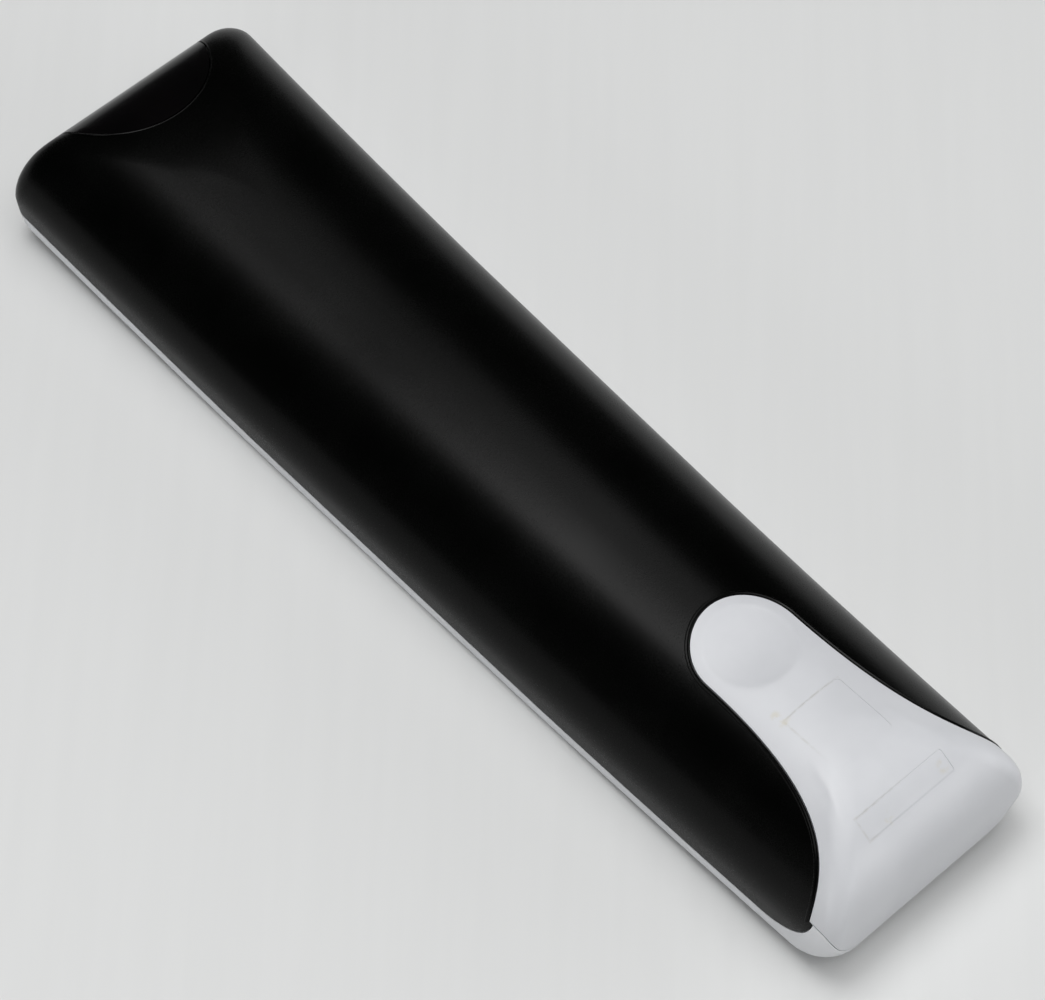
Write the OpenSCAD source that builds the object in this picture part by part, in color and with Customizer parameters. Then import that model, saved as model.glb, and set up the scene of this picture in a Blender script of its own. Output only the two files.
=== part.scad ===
// Universal remote control, lying face down on the rim of its front shell.
// +Z points out of the back, +Y towards the infrared end, and the origin is under the middle.

/* [Body] */
// Overall length
body_l = 218; // [200:1:230]
// Width at the infrared end
body_w_ir = 58; // [54:0.5:64]
// Width at the battery end
body_w_end = 49; // [48:0.5:56]
// Height of the back over its widest line at the infrared end
crown_h_ir = 19; // [17:0.5:24]
// Height of the back over its widest line at the battery end
crown_h_end = 22.5; // [20:0.5:28]
// Roundness of the back across: 2 is an ellipse, more is boxier
crown_power = 2; // [1.9:0.05:2.6]
// Length over which the back runs down to the infrared end
run_ir = 46; // [36:0.5:52]
// Roundness of that run
run_power_ir = 3.2; // [2.6:0.1:4]
// Length over which the back runs down to the battery end
run_end = 27.5; // [20:0.5:32]
// Roundness of that run
run_power_end = 2.4; // [2:0.1:3]
// Corner radius of the outline at its widest line and above
corner_r = 3; // [2.7:0.1:6]
// Corner radius of the rim at the infrared end
rim_corner_ir = 5; // [4:0.5:8]
// Corner radius of the rim at the battery end
rim_corner_end = 9; // [7:0.5:11]
// Rise of both ends over the table
arch_rise = 3.6; // [2:0.1:4]
// Half of the length that lies flat on the table
rest_half = 30; // [20:1:40]
// How late the ends start to rise
arch_power = 1.6; // [1.4:0.1:2]
// Height of the parting line over the rim
part_z = 4.6; // [4:0.1:6]
// Height of the widest line over the rim
belly_z = 8; // [7:0.1:9]
// How far the sides turn in from there to the rim
edge_in = 2.4; // [1.6:0.1:3]
// Roundness of that edge: more is boxier
edge_power = 4; // [3:0.1:5]
// Wall of both shells
wall = 2; // [1.6:0.1:2.4]
// Gap between the shells, the cover and the window
seam = 0.25; // [0.15:0.05:0.4]

/* [Battery cover] */
// From the battery end to the middle of the cover's round head
cover_l = 46.2; // [42:0.2:50]
// Radius of the head
head_r = 10.5; // [9:0.1:12]
// Straight pull of the sides behind the head
cover_neck = 21.8; // [16:0.2:26]
// Half width where the sides flare out
flare_x = 14.5; // [13:0.1:16]
// Distance of the flare from the battery end
flare_y = 8; // [7:0.1:12]
// Distance of the cover's corners from the battery end
cover_corner_y = 5; // [3.6:0.1:6]
// Thickness of the cover
cover_t = 1.8; // [1.4:0.1:2.2]
// Radius of the thumb dimple
dimple_r = 7.7; // [6:0.1:8.5]
// Depth of the thumb dimple
dimple_depth = 0.8; // [0.4:0.1:1.2]
// Reach of the tongue under the back shell
tongue_reach = 1.4; // [0.8:0.1:1.8]
// Half width of the tongue
tongue_half = 3; // [2:0.1:5]

/* [Front shell corners] */
// Front lip under the cover's end wall
end_lip = 1.2; // [0.8:0.1:1.6]
// Half of the straight part of that lip
lip_half = 12.5; // [10:0.5:15]
// Height of the lip's rise at the corners
horn_h = 20; // [16:0.5:24]
// Run of that rise
horn_run = 12.5; // [11.5:0.5:14]
// Length of the rounded tips of the back shell
tip_run = 12; // [9:0.5:14]
// Height of those tips
tip_h = 10; // [8:0.5:11]

/* [Infrared window] */
// Radius of the half-round window
window_r = 16.8; // [14:0.2:19]
// Height of its lower edge over the parting line
window_lift = 3; // [2:0.2:6]
// Infrared diode diameter
diode_d = 5; // [3:0.5:5.5]
// Infrared diode length
diode_l = 8.6; // [7:0.2:10]
// Distance between the diodes
diode_pitch = 13; // [9:0.5:16]
// Height of the diodes over the board
diode_lift = 6; // [4:0.5:8]

/* [Key panel] */
// Width of the rim around the panel
rim_w = 2.4; // [1.8:0.1:3]
// Depth of the panel under the rim
panel_drop = 1.3; // [1:0.1:2]
// Thickness of the panel
panel_t = 1.6; // [1.2:0.1:2]
// Key tops to the table
key_clear = 0.3; // [0.2:0.05:0.5]
// Gap round a key
key_gap = 0.3; // [0.2:0.05:0.4]
// Gap between a key's flange and the panel
key_seat = 0.4; // [0.3:0.05:0.5]
// Width of a key's flange
flange_w = 0.8; // [0.6:0.05:0.9]
// Thickness of a key's flange
flange_t = 0.6; // [0.5:0.05:0.8]
// Key travel
key_travel = 0.6; // [0.4:0.05:0.7]
// Radius of a key's stem
stem_r = 1.5; // [1.2:0.1:1.8]

/* [Key layout] */
// Radius of the two top keys
power_r = 4.4; // [3.6:0.1:5]
// Half of the distance between the two top keys
power_x = 15; // [12:0.5:17]
// Place of the two top keys
power_y = 88; // [86:0.5:90]
// Length of a device key
device_l = 8.6; // [7:0.2:9]
// Width of a device key
device_w = 5; // [4:0.2:6]
// Distance between device keys
device_pitch = 11.4; // [10.8:0.1:12]
// Place of the device keys
device_y = 75.5; // [74:0.5:77]
// Radius of a transport key
transport_r = 3.9; // [3:0.1:4.2]
// Place of the upper transport row
transport_y = 64.5; // [63.5:0.5:65.5]
// Distance between the transport rows
transport_pitch = 10.6; // [10.4:0.1:11]
// Distance between columns of keys
column_pitch = 13.4; // [12:0.1:14]
// Place of the arrow keys' middle
nav_y = 29; // [28:0.5:30]
// Radius of the middle key
ok_r = 5.8; // [5:0.1:6]
// Inner radius of the arrow keys
arrow_in = 8.2; // [8:0.1:8.6]
// Outer radius of the arrow keys
arrow_out = 14.6; // [13:0.1:15]
// Gap between two arrow keys
arrow_gap = 2.4; // [2.2:0.1:3]
// Radius of the corner keys around the arrows
corner_key_r = 3.4; // [3:0.1:3.6]
// Half distance across of the corner keys
corner_key_x = 17; // [16.6:0.1:17.5]
// Half distance along of the corner keys
corner_key_y = 14.4; // [14:0.1:15]
// Rocker length
rocker_l = 24; // [20:0.5:26]
// Rocker width
rocker_w = 8.6; // [7:0.1:9]
// Half distance between the rockers
rocker_x = 14.5; // [13.5:0.1:15]
// Place of the rockers
rocker_y = -10; // [-11:0.5:-9]
// Radius of the two keys between the rockers
middle_key_r = 3.9; // [3:0.1:4.2]
// Half distance between those two keys
middle_key_y = 6.4; // [6:0.1:7.5]
// Length of a number key
digit_l = 9.6; // [8:0.1:10]
// Width of a number key
digit_w = 6.6; // [5:0.1:7]
// Place of the first row of number keys
digit_y = -35; // [-36:0.5:-34]
// Distance between rows of number keys
digit_pitch = 11; // [10:0.1:12]

/* [Inside] */
// Thickness of the key mat
mat_t = 1; // [0.8:0.1:1.4]
// Gap around the mat and the board
inner_gap = 0.2; // [0.15:0.05:0.3]
// Thickness of the circuit board
board_t = 1.4; // [1:0.1:1.6]
// Distance of the board from the shells
board_in = 3.8; // [3.7:0.1:5]
// Distance of the board's ends from the shell's ends
board_end = 12; // [11:0.5:14]
// Radius of a post under the board
post_r = 2.6; // [2.2:0.1:3]
// Thread radius of a board screw
screw_r = 1; // [0.8:0.05:1.2]
// Head radius of a board screw
screw_head_r = 2.1; // [1.8:0.1:2.4]
// Head height of a board screw
screw_head_h = 1.2; // [1:0.1:1.5]
// Space between the board and the battery tray
tray_lift = 1.1; // [0.9:0.1:2]
// Thickness of the battery tray
tray_t = 1.1; // [0.9:0.1:1.4]
// Battery diameter
cell_d = 10.5; // [10:0.1:10.6]
// Battery length over the button
cell_l = 44.5; // [43:0.1:45]
// Distance between the two batteries
cell_pitch = 10.9; // [10.8:0.05:11.2]
// Gap around a battery
cell_gap = 0.25; // [0.2:0.05:0.3]
// Thickness of a contact plate
contact_t = 0.5; // [0.4:0.05:0.8]
// Length of a pressed contact spring
spring_l = 4.6; // [4:0.1:5]
// Wire of a contact spring
spring_wire = 0.7; // [0.6:0.05:0.8]

/* [Hidden] */
// Smooth round shapes
$fn = 48;
// Overlap for cuts that run past a face
past = 5;
half_l = body_l / 2;

// Heights over the rim, from the key panel up to the batteries
panel_in = panel_drop + panel_t;
flange_z = panel_in + key_seat;
mat_z = flange_z + flange_t + key_travel + arch(power_y) + inner_gap;
board_z = mat_z + mat_t + inner_gap;
board_top = board_z + board_t;
stem_top = board_z - key_travel - key_seat;
tray_z = board_top + tray_lift;
tray_top = tray_z + tray_t;
cell_z = tray_top + cell_gap + cell_d / 2;
cell_top = cell_z + cell_d / 2;

// Rise of the body over the table at a distance along it
function arch(y) =
    arch_rise * pow(max(0, (abs(y) - rest_half) / (half_l - rest_half)), arch_power);
// Height of the parting line
function part_at(y) = part_z + arch(y);
// Half width of the outline at the parting line
function half_w(y) = (body_w_end + (body_w_ir - body_w_end) * (y + half_l) / body_l) / 2;
// Height of the widest line
function belly_at(y) = belly_z + arch(y);
// How far the sides are in from the widest line at a height over the rim
function edge_inset(z) = edge_in * (1 - oval(1 - min(max(z, 0), belly_z) / belly_z, edge_power));
// Height of the crown over the widest line
function crown_h(y) = crown_h_end + (crown_h_ir - crown_h_end) * (y + half_l) / body_l;
// Share of a superellipse's width that is left at a share of its height
function oval(share, power) = pow(1 - pow(share, power), 1 / power);

// One ring of the body: insets from the sides and ends, width share, corner radii and height
function ring(side_in, share, ir_in, end_in, r_ir, r_end, steps_r, steps_l, lift, rise) =
    let (
        y1 = half_l - ir_in - r_ir,
        y0 = -half_l + end_in + r_end,
        half = [
            for (i = [0:steps_r])
                let (a = 90 - 90 * i / steps_r)
                [width_at(y1, side_in, share) - r_ir + r_ir * cos(a), y1 + r_ir * sin(a)],
            for (i = [1:steps_l - 1])
                let (y = y1 + (y0 - y1) * i / steps_l)
                [width_at(y, side_in, share), y],
            for (i = [0:steps_r])
                let (a = -90 * i / steps_r)
                [width_at(y0, side_in, share) - r_end + r_end * cos(a), y0 + r_end * sin(a)]
        ],
        n = len(half)
    )
    [
        for (p = half) [p.x, p.y, lift + arch(p.y) + rise * crown_h(p.y)],
        for (i = [n - 1:-1:0])
            let (p = half[i])
            [-p.x, p.y, lift + arch(p.y) + rise * crown_h(p.y)]
    ];
function width_at(y, side_in, share) = (half_w(y) - side_in) * share;

// Closed solid through a stack of rings, with strips across its first and last ring
module loft(rings) {
    m = len(rings[0]);
    top = (len(rings) - 1) * m;
    sides = [
        for (k = [0:len(rings) - 2], i = [0:m - 1])
            let (a = k * m + i, b = k * m + (i + 1) % m)
            each [[a, b, b + m], [a, b + m, a + m]]
    ];
    caps = [
        for (i = [0:m / 2 - 2])
            let (j = m - 1 - i)
            each [[j, i + 1, i], [j, j - 1, i + 1],
                  [top + i, top + i + 1, top + j], [top + i + 1, top + j - 1, top + j]]
    ];
    polyhedron([for (r = rings) each r], concat(sides, caps), convexity = 6);
}

// Steps up the crown, in equal angles of its curve, and the angle where the flat top starts
crown_steps = 10;
crown_end_angle = 84;
function crown_share(i, n) = sin(crown_end_angle * i / n);

// Height of the flat top behind a wall inset
function crown_top(y, inset) = belly_at(y) + (crown_h(y) - inset) * sin(crown_end_angle);

// Rings of the crown for a wall inset
function crown_rings(inset, first, n, steps_r, steps_l) = [
    for (i = [first:n])
        let (
            share = crown_share(i, n),
            w = oval(share, crown_power),
            r = min(corner_r - inset, 0.9 * (body_w_end / 2 - inset) * w)
        )
        ring(inset, w,
            inset + (run_ir - inset) * (1 - oval(share, run_power_ir)),
            inset + (run_end - inset) * (1 - oval(share, run_power_end)),
            r, r, steps_r, steps_l,
            belly_z - inset * share, share)
];

// Rings of the edge under the widest line for a wall inset, from a height over the rim
edge_steps = 4;
function edge_rings(inset, z0, steps_r, steps_l) = [
    for (i = [0:edge_steps - 1])
        let (
            a0 = acos(1 - max(z0, 0) / belly_z),
            a = a0 + (90 - a0) * i / edge_steps,
            z = belly_z * (1 - cos(a)),
            d = inset + edge_inset(z),
            t = z / belly_z,
            r_ir = rim_corner_ir + (corner_r - rim_corner_ir) * t - inset,
            r_end = rim_corner_end + (corner_r - rim_corner_end) * t - inset
        )
        ring(d, 1, d, d, r_ir, r_end, steps_r, steps_l, i == 0 ? z0 : z, 0)
];

// Outer form of the whole body
module body_form() {
    steps_r = 4;
    steps_l = 10;
    loft(concat(
        edge_rings(0, 0, steps_r, steps_l),
        crown_rings(0, 0, crown_steps, steps_r, steps_l)
    ));
}

// Inner form of the body behind a wall, down to a floor
core_steps = 7;
module body_core(inset, floor_z = panel_in) {
    steps_r = 3;
    steps_l = 8;
    loft(concat(
        edge_rings(inset, floor_z, steps_r, steps_l),
        crown_rings(inset, 0, core_steps, steps_r, steps_l)
    ));
}

// A flat outline in Y and Z, drawn out across the body
module across(half = body_w_ir) {
    rotate([90, 0, 90])
        translate([0, 0, -half])
            linear_extrude(2 * half) children();
}

// Stations along the body, from one place to another
station_steps = 24;
function stations(y0, y1) = [for (i = [0:station_steps]) y0 + (y1 - y0) * i / station_steps];

// The parting line with its rounded tips at the battery end
tip_y = -half_l + cover_corner_y;
tip_start = tip_y + tip_run;
tip_steps = 6;
function parting_line(d) = concat(
    [for (y = stations(half_l + past, tip_start)) [y, part_at(y) + d]],
    [
        for (i = [1:tip_steps])
            let (a = 90 * i / tip_steps)
            [tip_start - (tip_run - d) * sin(a), part_at(tip_start) + d + (tip_h - d) * (1 - cos(a))]
    ]
);
zone_top = belly_at(half_l) + max(crown_h_ir, crown_h_end) + past;

// Everything above the parting line
module back_zone() {
    across() polygon(concat(
        parting_line(seam / 2),
        [[tip_y + seam / 2, zone_top], [half_l + past, zone_top]]
    ));
}

// Everything under the parting line
module front_zone() {
    across() polygon(concat(
        parting_line(-seam / 2),
        [[tip_y - seam / 2, zone_top], [-half_l - past, zone_top],
         [-half_l - past, -past], [half_l + past, -past]]
    ));
}

// Lower edge of the cover at the battery end, seen along the body
lip_z = arch_rise + end_lip;
horn_steps = 8;
function horn_side(s, d) = [
    for (i = [0:horn_steps])
        let (a = 90 * i / horn_steps)
        [s * (lip_half + horn_run * sin(a)), lip_z + d + horn_h * (1 - cos(a))]
];
module above_lip(d, y0, y1) {
    right = horn_side(1, d);
    left = horn_side(-1, d);
    translate([0, y1, 0])
        rotate([90, 0, 0])
            linear_extrude(y1 - y0)
                polygon(concat(
                    [for (i = [horn_steps:-1:0]) left[i]],
                    right,
                    [[body_w_ir, right[horn_steps].y], [body_w_ir, zone_top],
                     [-body_w_ir, zone_top], [-body_w_ir, right[horn_steps].y]]
                ));
}

// Outline of the battery cover: a round head and sides that flare to the corners
head_y = -half_l + cover_l;
head_steps = 8;
flare_steps = 10;
function bezier(p, t) =
    pow(1 - t, 3) * p[0] + 3 * pow(1 - t, 2) * t * p[1] + 3 * (1 - t) * t * t * p[2] + t * t * t * p[3];
function cover_side(d) =
    let (p = [
        [head_r + d, head_y],
        [head_r + d, head_y - cover_neck],
        [flare_x + d, -half_l + flare_y + d],
        [body_w_end / 2 + wall, -half_l + cover_corner_y + d]
    ])
    concat(
        [for (i = [0:head_steps]) let (a = 90 - 90 * i / head_steps)
            [(head_r + d) * cos(a), head_y + (head_r + d) * sin(a)]],
        [for (i = [1:flare_steps]) bezier(p, i / flare_steps)]
    );
module cover_plan(d) {
    side = cover_side(d);
    n = len(side);
    corner_x = side[n - 1].x;
    polygon(concat(
        side,
        [[corner_x, -half_l - past], [-corner_x, -half_l - past]],
        [for (i = [n - 1:-1:1]) [-side[i].x, side[i].y]]
    ));
}

// Window cut: a half disc at the infrared end, above its lower edge
window_z = part_at(half_l) + window_lift;
module window_zone(d) {
    translate([0, half_l, window_z - d])
        cylinder(r = window_r + d, h = zone_top);
}

// Keys: name, shape, place across, place along, and two sizes. Seen from the face, +X is left.
function column(i) = (1 - i) * column_pitch;
function grid(names, y, pitch, shape, a, b) = [
    for (r = [0:len(names) - 1], c = [0:2])
        [names[r][c], shape, column(c), y - r * pitch, a, b]
];
device_names = ["key_tv", "key_disc", "key_box", "key_audio"];
KEYS = concat(
    [
        ["key_power", "round", power_x, power_y, power_r, 0],
        ["key_source", "round", -power_x, power_y, power_r, 0]
    ],
    [for (i = [0:3]) [device_names[i], "pill", (1.5 - i) * device_pitch, device_y, device_l, device_w]],
    grid([["key_rewind", "key_play", "key_forward"], ["key_record", "key_stop", "key_pause"]],
        transport_y, transport_pitch, "round", transport_r, 0),
    [
        ["key_menu", "round", corner_key_x, nav_y + corner_key_y, corner_key_r, 0],
        ["key_guide", "round", -corner_key_x, nav_y + corner_key_y, corner_key_r, 0],
        ["key_back", "round", corner_key_x, nav_y - corner_key_y, corner_key_r, 0],
        ["key_exit", "round", -corner_key_x, nav_y - corner_key_y, corner_key_r, 0],
        ["key_ok", "round", 0, nav_y, ok_r, 0],
        ["key_left", "arrow", 0, nav_y, 0, 0],
        ["key_up", "arrow", 0, nav_y, 90, 0],
        ["key_right", "arrow", 0, nav_y, 180, 0],
        ["key_down", "arrow", 0, nav_y, 270, 0],
        ["key_volume", "rocker", rocker_x, rocker_y, rocker_l, rocker_w],
        ["key_channel", "rocker", -rocker_x, rocker_y, rocker_l, rocker_w],
        ["key_mute", "round", 0, rocker_y + middle_key_y, middle_key_r, 0],
        ["key_info", "round", 0, rocker_y - middle_key_y, middle_key_r, 0]
    ],
    grid([["key_1", "key_2", "key_3"], ["key_4", "key_5", "key_6"],
          ["key_7", "key_8", "key_9"], ["key_clear", "key_0", "key_enter"]],
        digit_y, digit_pitch, "pill", digit_l, digit_w)
);

// Outline of a key, grown by d
module slot_shape(l, w, d) {
    square([l - w, w + 2 * d], center = true);
    for (s = [-1, 1])
        translate([s * (l - w) / 2, 0]) circle(w / 2 + d);
}
module key_shape(k, d) {
    translate([k[2], k[3]]) {
        if (k[1] == "round") circle(k[4] + d);
        if (k[1] == "pill") slot_shape(k[4], k[5], d);
        if (k[1] == "rocker") rotate(90) slot_shape(k[4], k[5], d);
        if (k[1] == "arrow") arrow_shape(k[4], d);
    }
}
module arrow_shape(angle, d) {
    rotate(angle - 45)
        intersection() {
            difference() {
                circle(arrow_out + d);
                circle(arrow_in - d);
            }
            translate([1, 1] * (arrow_gap / 2 - d))
                square(2 * arrow_out);
        }
}

// Places of a key's stems, and the height that the panel has under the key
function stems(k) =
    k[1] == "rocker" ? [for (s = [-1, 1]) [k[2], k[3] + s * rocker_l / 3]]
    : k[1] == "arrow" ? [[k[2] + arrow_mid * cos(k[4]), k[3] + arrow_mid * sin(k[4])]]
    : [[k[2], k[3]]];
arrow_mid = (arrow_in + arrow_out) / 2;
function key_lift(k) = arch(stems(k)[0].y);

// A rocker's flange only spans its middle, so that it can tip
rocker_flange_l = 6;
module flange_shape(k) {
    if (k[1] == "rocker")
        translate([k[2], k[3]])
            square([rocker_w + 2 * flange_w, rocker_flange_l], center = true);
    else
        key_shape(k, flange_w);
}

module key(k) {
    lift = key_lift(k);
    color(k[0] == "key_power" ? "firebrick" : "dimgray") {
        translate([0, 0, key_clear + lift])
            linear_extrude(flange_z + flange_t - key_clear) key_shape(k, 0);
        translate([0, 0, flange_z + lift])
            linear_extrude(flange_t) flange_shape(k);
        for (p = stems(k))
            translate([p.x, p.y, flange_z + lift])
                cylinder(r = stem_r, h = stem_top - flange_z - lift);
    }
}

// Posts of the front shell that carry the board, and the board's screws
post_in = board_in + 2.4;
post_places = [52, -24];
POSTS = [for (y = post_places, s = [-1, 1]) [s * (half_w(y) - post_in), y]];
pilot_r = screw_r + inner_gap;
pilot_floor = panel_in + panel_t / 2;

// The dished key panel
module panel_dish() {
    intersection() {
        translate([0, 0, -past])
            linear_extrude(zone_top)
                let (
                    d = edge_in + rim_w,
                    outline = ring(d, 1, d, d, rim_corner_ir - d / 2, rim_corner_end - d / 2, 6, 2, 0, 0)
                )
                polygon([for (p = outline) [p.x, p.y]]);
        across() polygon(concat(
            [for (y = stations(half_l, -half_l)) [y, panel_drop + arch(y)]],
            [[-half_l, -past], [half_l, -past]]
        ));
    }
}

// Tabs of the front shell that stand inside the back shell's wall
tab_l = 9;
tab_t = 1.2;
tab_rise = 2.2;
tab_gap = 2 * inner_gap;
tab_places = [80, 8, -45];
tab_in = wall + edge_inset(part_z) + tab_gap + tab_t / 2;
module tabs() {
    for (y = tab_places, s = [-1, 1])
        translate([s * (half_w(y) - tab_in) - tab_t / 2, y - tab_l / 2, panel_in + arch(y) - panel_t / 2])
            cube([tab_t, tab_l, part_z - panel_in + tab_rise]);
}

// Light of the indicator, between the two top keys
lens_r = 1.6;
lens_y = power_y;

module front_shell() {
    color("whitesmoke") {
        difference() {
            intersection() {
                body_form();
                front_zone();
            }
            body_core(wall);
            above_lip(-seam / 2, -half_l - past, tip_start);
            panel_dish();
            translate([0, 0, -past])
                linear_extrude(zone_top) {
                    for (k = KEYS) key_shape(k, key_gap);
                    translate([0, lens_y]) circle(lens_r + key_gap);
                }
        }
        for (p = POSTS)
            translate([p.x, p.y, 0])
                difference() {
                    translate([0, 0, panel_in - panel_t / 2 + arch(p.y)])
                        cylinder(r = post_r, h = board_z - inner_gap - panel_in + panel_t / 2 - arch(p.y));
                    translate([0, 0, pilot_floor + arch(p.y)])
                        cylinder(r = pilot_r, h = zone_top);
                }
        tabs();
    }
}

// Battery tray inside the back shell
bay_half = (cell_pitch + cell_d) / 2 + 2 * inner_gap;
cell_share = (cell_top + cell_gap - belly_at(half_l)) / (crown_h_end - cover_t);
cell_y0 = -half_l + cover_t + (run_end - cover_t) * (1 - oval(cell_share, run_power_end)) + cell_gap;
cell_y1 = cell_y0 + cell_l;
bay_y0 = cell_y0 - contact_t - 2 * cell_gap;
bay_y1 = cell_y1 + spring_l + contact_t + 2 * cell_gap;
deck_y0 = tip_start + past;
module tray() {
    intersection() {
        translate([-body_w_ir / 2, deck_y0, tray_z])
            cube([body_w_ir, bay_y1 + tray_t - deck_y0, tray_t]);
        body_core(wall / 2);
    }
    intersection() {
        difference() {
            translate([-bay_half - tray_t, bay_y0 - tray_t, tray_z])
                cube([2 * (bay_half + tray_t), bay_y1 - bay_y0 + 2 * tray_t, cell_top - tray_z]);
            translate([-bay_half, bay_y0, tray_top])
                cube([2 * bay_half, bay_y1 - bay_y0, zone_top]);
        }
        body_core(max(wall, cover_t) + seam);
    }
}

// Room that the back shell leaves for the cover
module cover_room() {
    intersection() {
        linear_extrude(zone_top) cover_plan(seam / 2);
        above_lip(-seam / 2, -half_l - past, head_y + 2 * head_r);
    }
}

module back_shell() {
    color("#141416") {
        difference() {
            intersection() {
                body_form();
                back_zone();
            }
            body_core(wall);
            cover_room();
            window_zone(seam / 2);
        }
        tray();
    }
}

// Radius of the ball that presses the dimple
dimple_ball = (dimple_r * dimple_r + dimple_depth * dimple_depth) / (2 * dimple_depth);
dimple_top = crown_top(head_y, 0);
// Tongue under the cover's head that hooks behind the back shell's edge
tongue_top = crown_top(head_y + head_r + tongue_reach, wall) - 2 * seam;
tongue_root = head_y + head_r - seam - 2 * cover_t;
module tongue() {
    translate([-tongue_half, tongue_root, tongue_top - cover_t]) {
        cube([2 * tongue_half, 2 * cover_t + tongue_reach, cover_t]);
        cube([2 * tongue_half, 2 * cover_t - seam, 2 * cover_t]);
    }
}

module battery_cover() {
    color("gainsboro") {
        difference() {
            intersection() {
                body_form();
                translate([0, 0, -past]) linear_extrude(zone_top + past) cover_plan(-seam / 2);
                above_lip(seam / 2, -half_l - past, head_y + 2 * head_r);
            }
            body_core(cover_t, -past);
            translate([0, head_y, dimple_top - dimple_depth + dimple_ball])
                sphere(dimple_ball, $fn = 96);
        }
        tongue();
    }
}

module ir_window() {
    color("#0a0a0c")
        difference() {
            intersection() {
                body_form();
                window_zone(-seam / 2);
            }
            body_core(wall);
        }
}

// Flat outline inside the shells, for the mat and the board, and its corner radius
board_r = 3;
module board_plan(d) {
    outline = ring(board_in + d, 1, board_end + d, board_end + d, board_r, board_r, 4, 2, 0, 0);
    polygon([for (p = outline) [p.x, p.y]]);
}

module key_mat() {
    color("slategray")
        translate([0, 0, mat_z])
            linear_extrude(mat_t)
                difference() {
                    board_plan(1);
                    for (k = KEYS, p = stems(k)) translate(p) circle(stem_r + 3 * inner_gap);
                    for (p = POSTS) translate(p) circle(post_r + 2 * inner_gap);
                    translate([0, lens_y]) circle(lens_r + 3 * inner_gap);
                }
}

module circuit_board() {
    color("darkgreen")
        translate([0, 0, board_z])
            linear_extrude(board_t)
                difference() {
                    board_plan(0);
                    for (p = POSTS) translate(p) circle(screw_r + inner_gap);
                }
}

module board_screws() {
    color("silver")
        for (p = POSTS)
            translate([p.x, p.y, 0]) {
                translate([0, 0, pilot_floor + arch(p.y) + inner_gap])
                    cylinder(r = screw_r, h = board_top + inner_gap - pilot_floor - arch(p.y));
                translate([0, 0, board_top + inner_gap])
                    cylinder(r = screw_head_r, h = screw_head_h);
            }
}

// Clear plug that carries the indicator's light through the panel
module indicator_lens() {
    color("salmon")
        translate([0, lens_y, arch(lens_y)]) {
            translate([0, 0, key_clear + panel_drop / 2])
                cylinder(r = lens_r, h = mat_z - arch(lens_y) - key_clear - panel_drop / 2);
            translate([0, 0, flange_z])
                cylinder(r = lens_r + flange_w + key_gap, h = flange_t);
        }
}

// Two infrared diodes that look out of the window, on bent wires
diode_z = board_top + diode_lift;
diode_y = half_l - 2 * wall - diode_l;
wire_w = 0.6;
wire_in = 0.5;
module ir_diodes() {
    color("lavender")
        for (s = [-1, 1])
            translate([s * diode_pitch / 2, diode_y, diode_z]) {
                rotate([-90, 0, 0]) cylinder(d = diode_d, h = diode_l - diode_d / 2);
                translate([0, diode_l - diode_d / 2, 0]) sphere(d = diode_d);
                rotate([-90, 0, 0]) cylinder(d = diode_d + 1, h = 1);
                for (w = [-1, 1])
                    translate([w * diode_d / 4 - wire_w / 2, -2 * wire_w, -diode_lift + inner_gap]) {
                        cube([wire_w, wire_w, diode_lift]);
                        translate([0, 0, diode_lift - wire_w]) cube([wire_w, 2 * wire_w + wire_in, wire_w]);
                    }
            }
}

// Chip, resonator and capacitor on the back of the board
part_seat = board_top + inner_gap;
chip_y = 18;
chip_w = 9;
chip_h = 1.4;
chip_pins = 8;
pin_pitch = 1;
pin_w = 0.4;
pin_l = 1.2;
pin_root = 0.1;
module microcontroller() {
    color("#202020")
        translate([0, chip_y, part_seat]) {
            translate([-chip_w / 2, -chip_w / 2, 0]) cube([chip_w, chip_w, chip_h]);
            for (a = [0:90:270], i = [0:chip_pins - 1])
                rotate(a)
                    translate([chip_w / 2 - pin_root, (i - (chip_pins - 1) / 2) * pin_pitch - pin_w / 2, 0])
                        cube([pin_l, pin_w, pin_w]);
        }
}

resonator_place = [11, 24];
resonator_l = 7.4;
resonator_w = 3;
resonator_h = 3.4;
module resonator() {
    color("goldenrod")
        translate([resonator_place.x, resonator_place.y, part_seat])
            linear_extrude(resonator_h) rotate(90) slot_shape(resonator_l, resonator_w, 0);
}

capacitor_place = [-12, -8];
capacitor_d = 6.3;
capacitor_h = 9;
module capacitor() {
    color("navy")
        translate([capacitor_place.x, capacitor_place.y, part_seat])
            cylinder(d = capacitor_d, h = capacitor_h);
}

// Batteries: a can, a shoulder and a button, the second one turned round
button_d = 3.8;
button_l = 1;
can_round = 0.6;
module cell() {
    rotate([-90, 0, 0])
        rotate_extrude()
            polygon([
                [0, 0], [cell_d / 2 - can_round, 0], [cell_d / 2, can_round],
                [cell_d / 2, cell_l - button_l - can_round], [cell_d / 2 - can_round, cell_l - button_l],
                [button_d / 2, cell_l - button_l], [button_d / 2, cell_l], [0, cell_l]
            ]);
}
module battery_left() {
    color("steelblue")
        translate([cell_pitch / 2, cell_y0, cell_z]) cell();
}
module battery_right() {
    color("steelblue")
        translate([-cell_pitch / 2, cell_y1, cell_z]) mirror([0, 1, 0]) cell();
}

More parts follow.
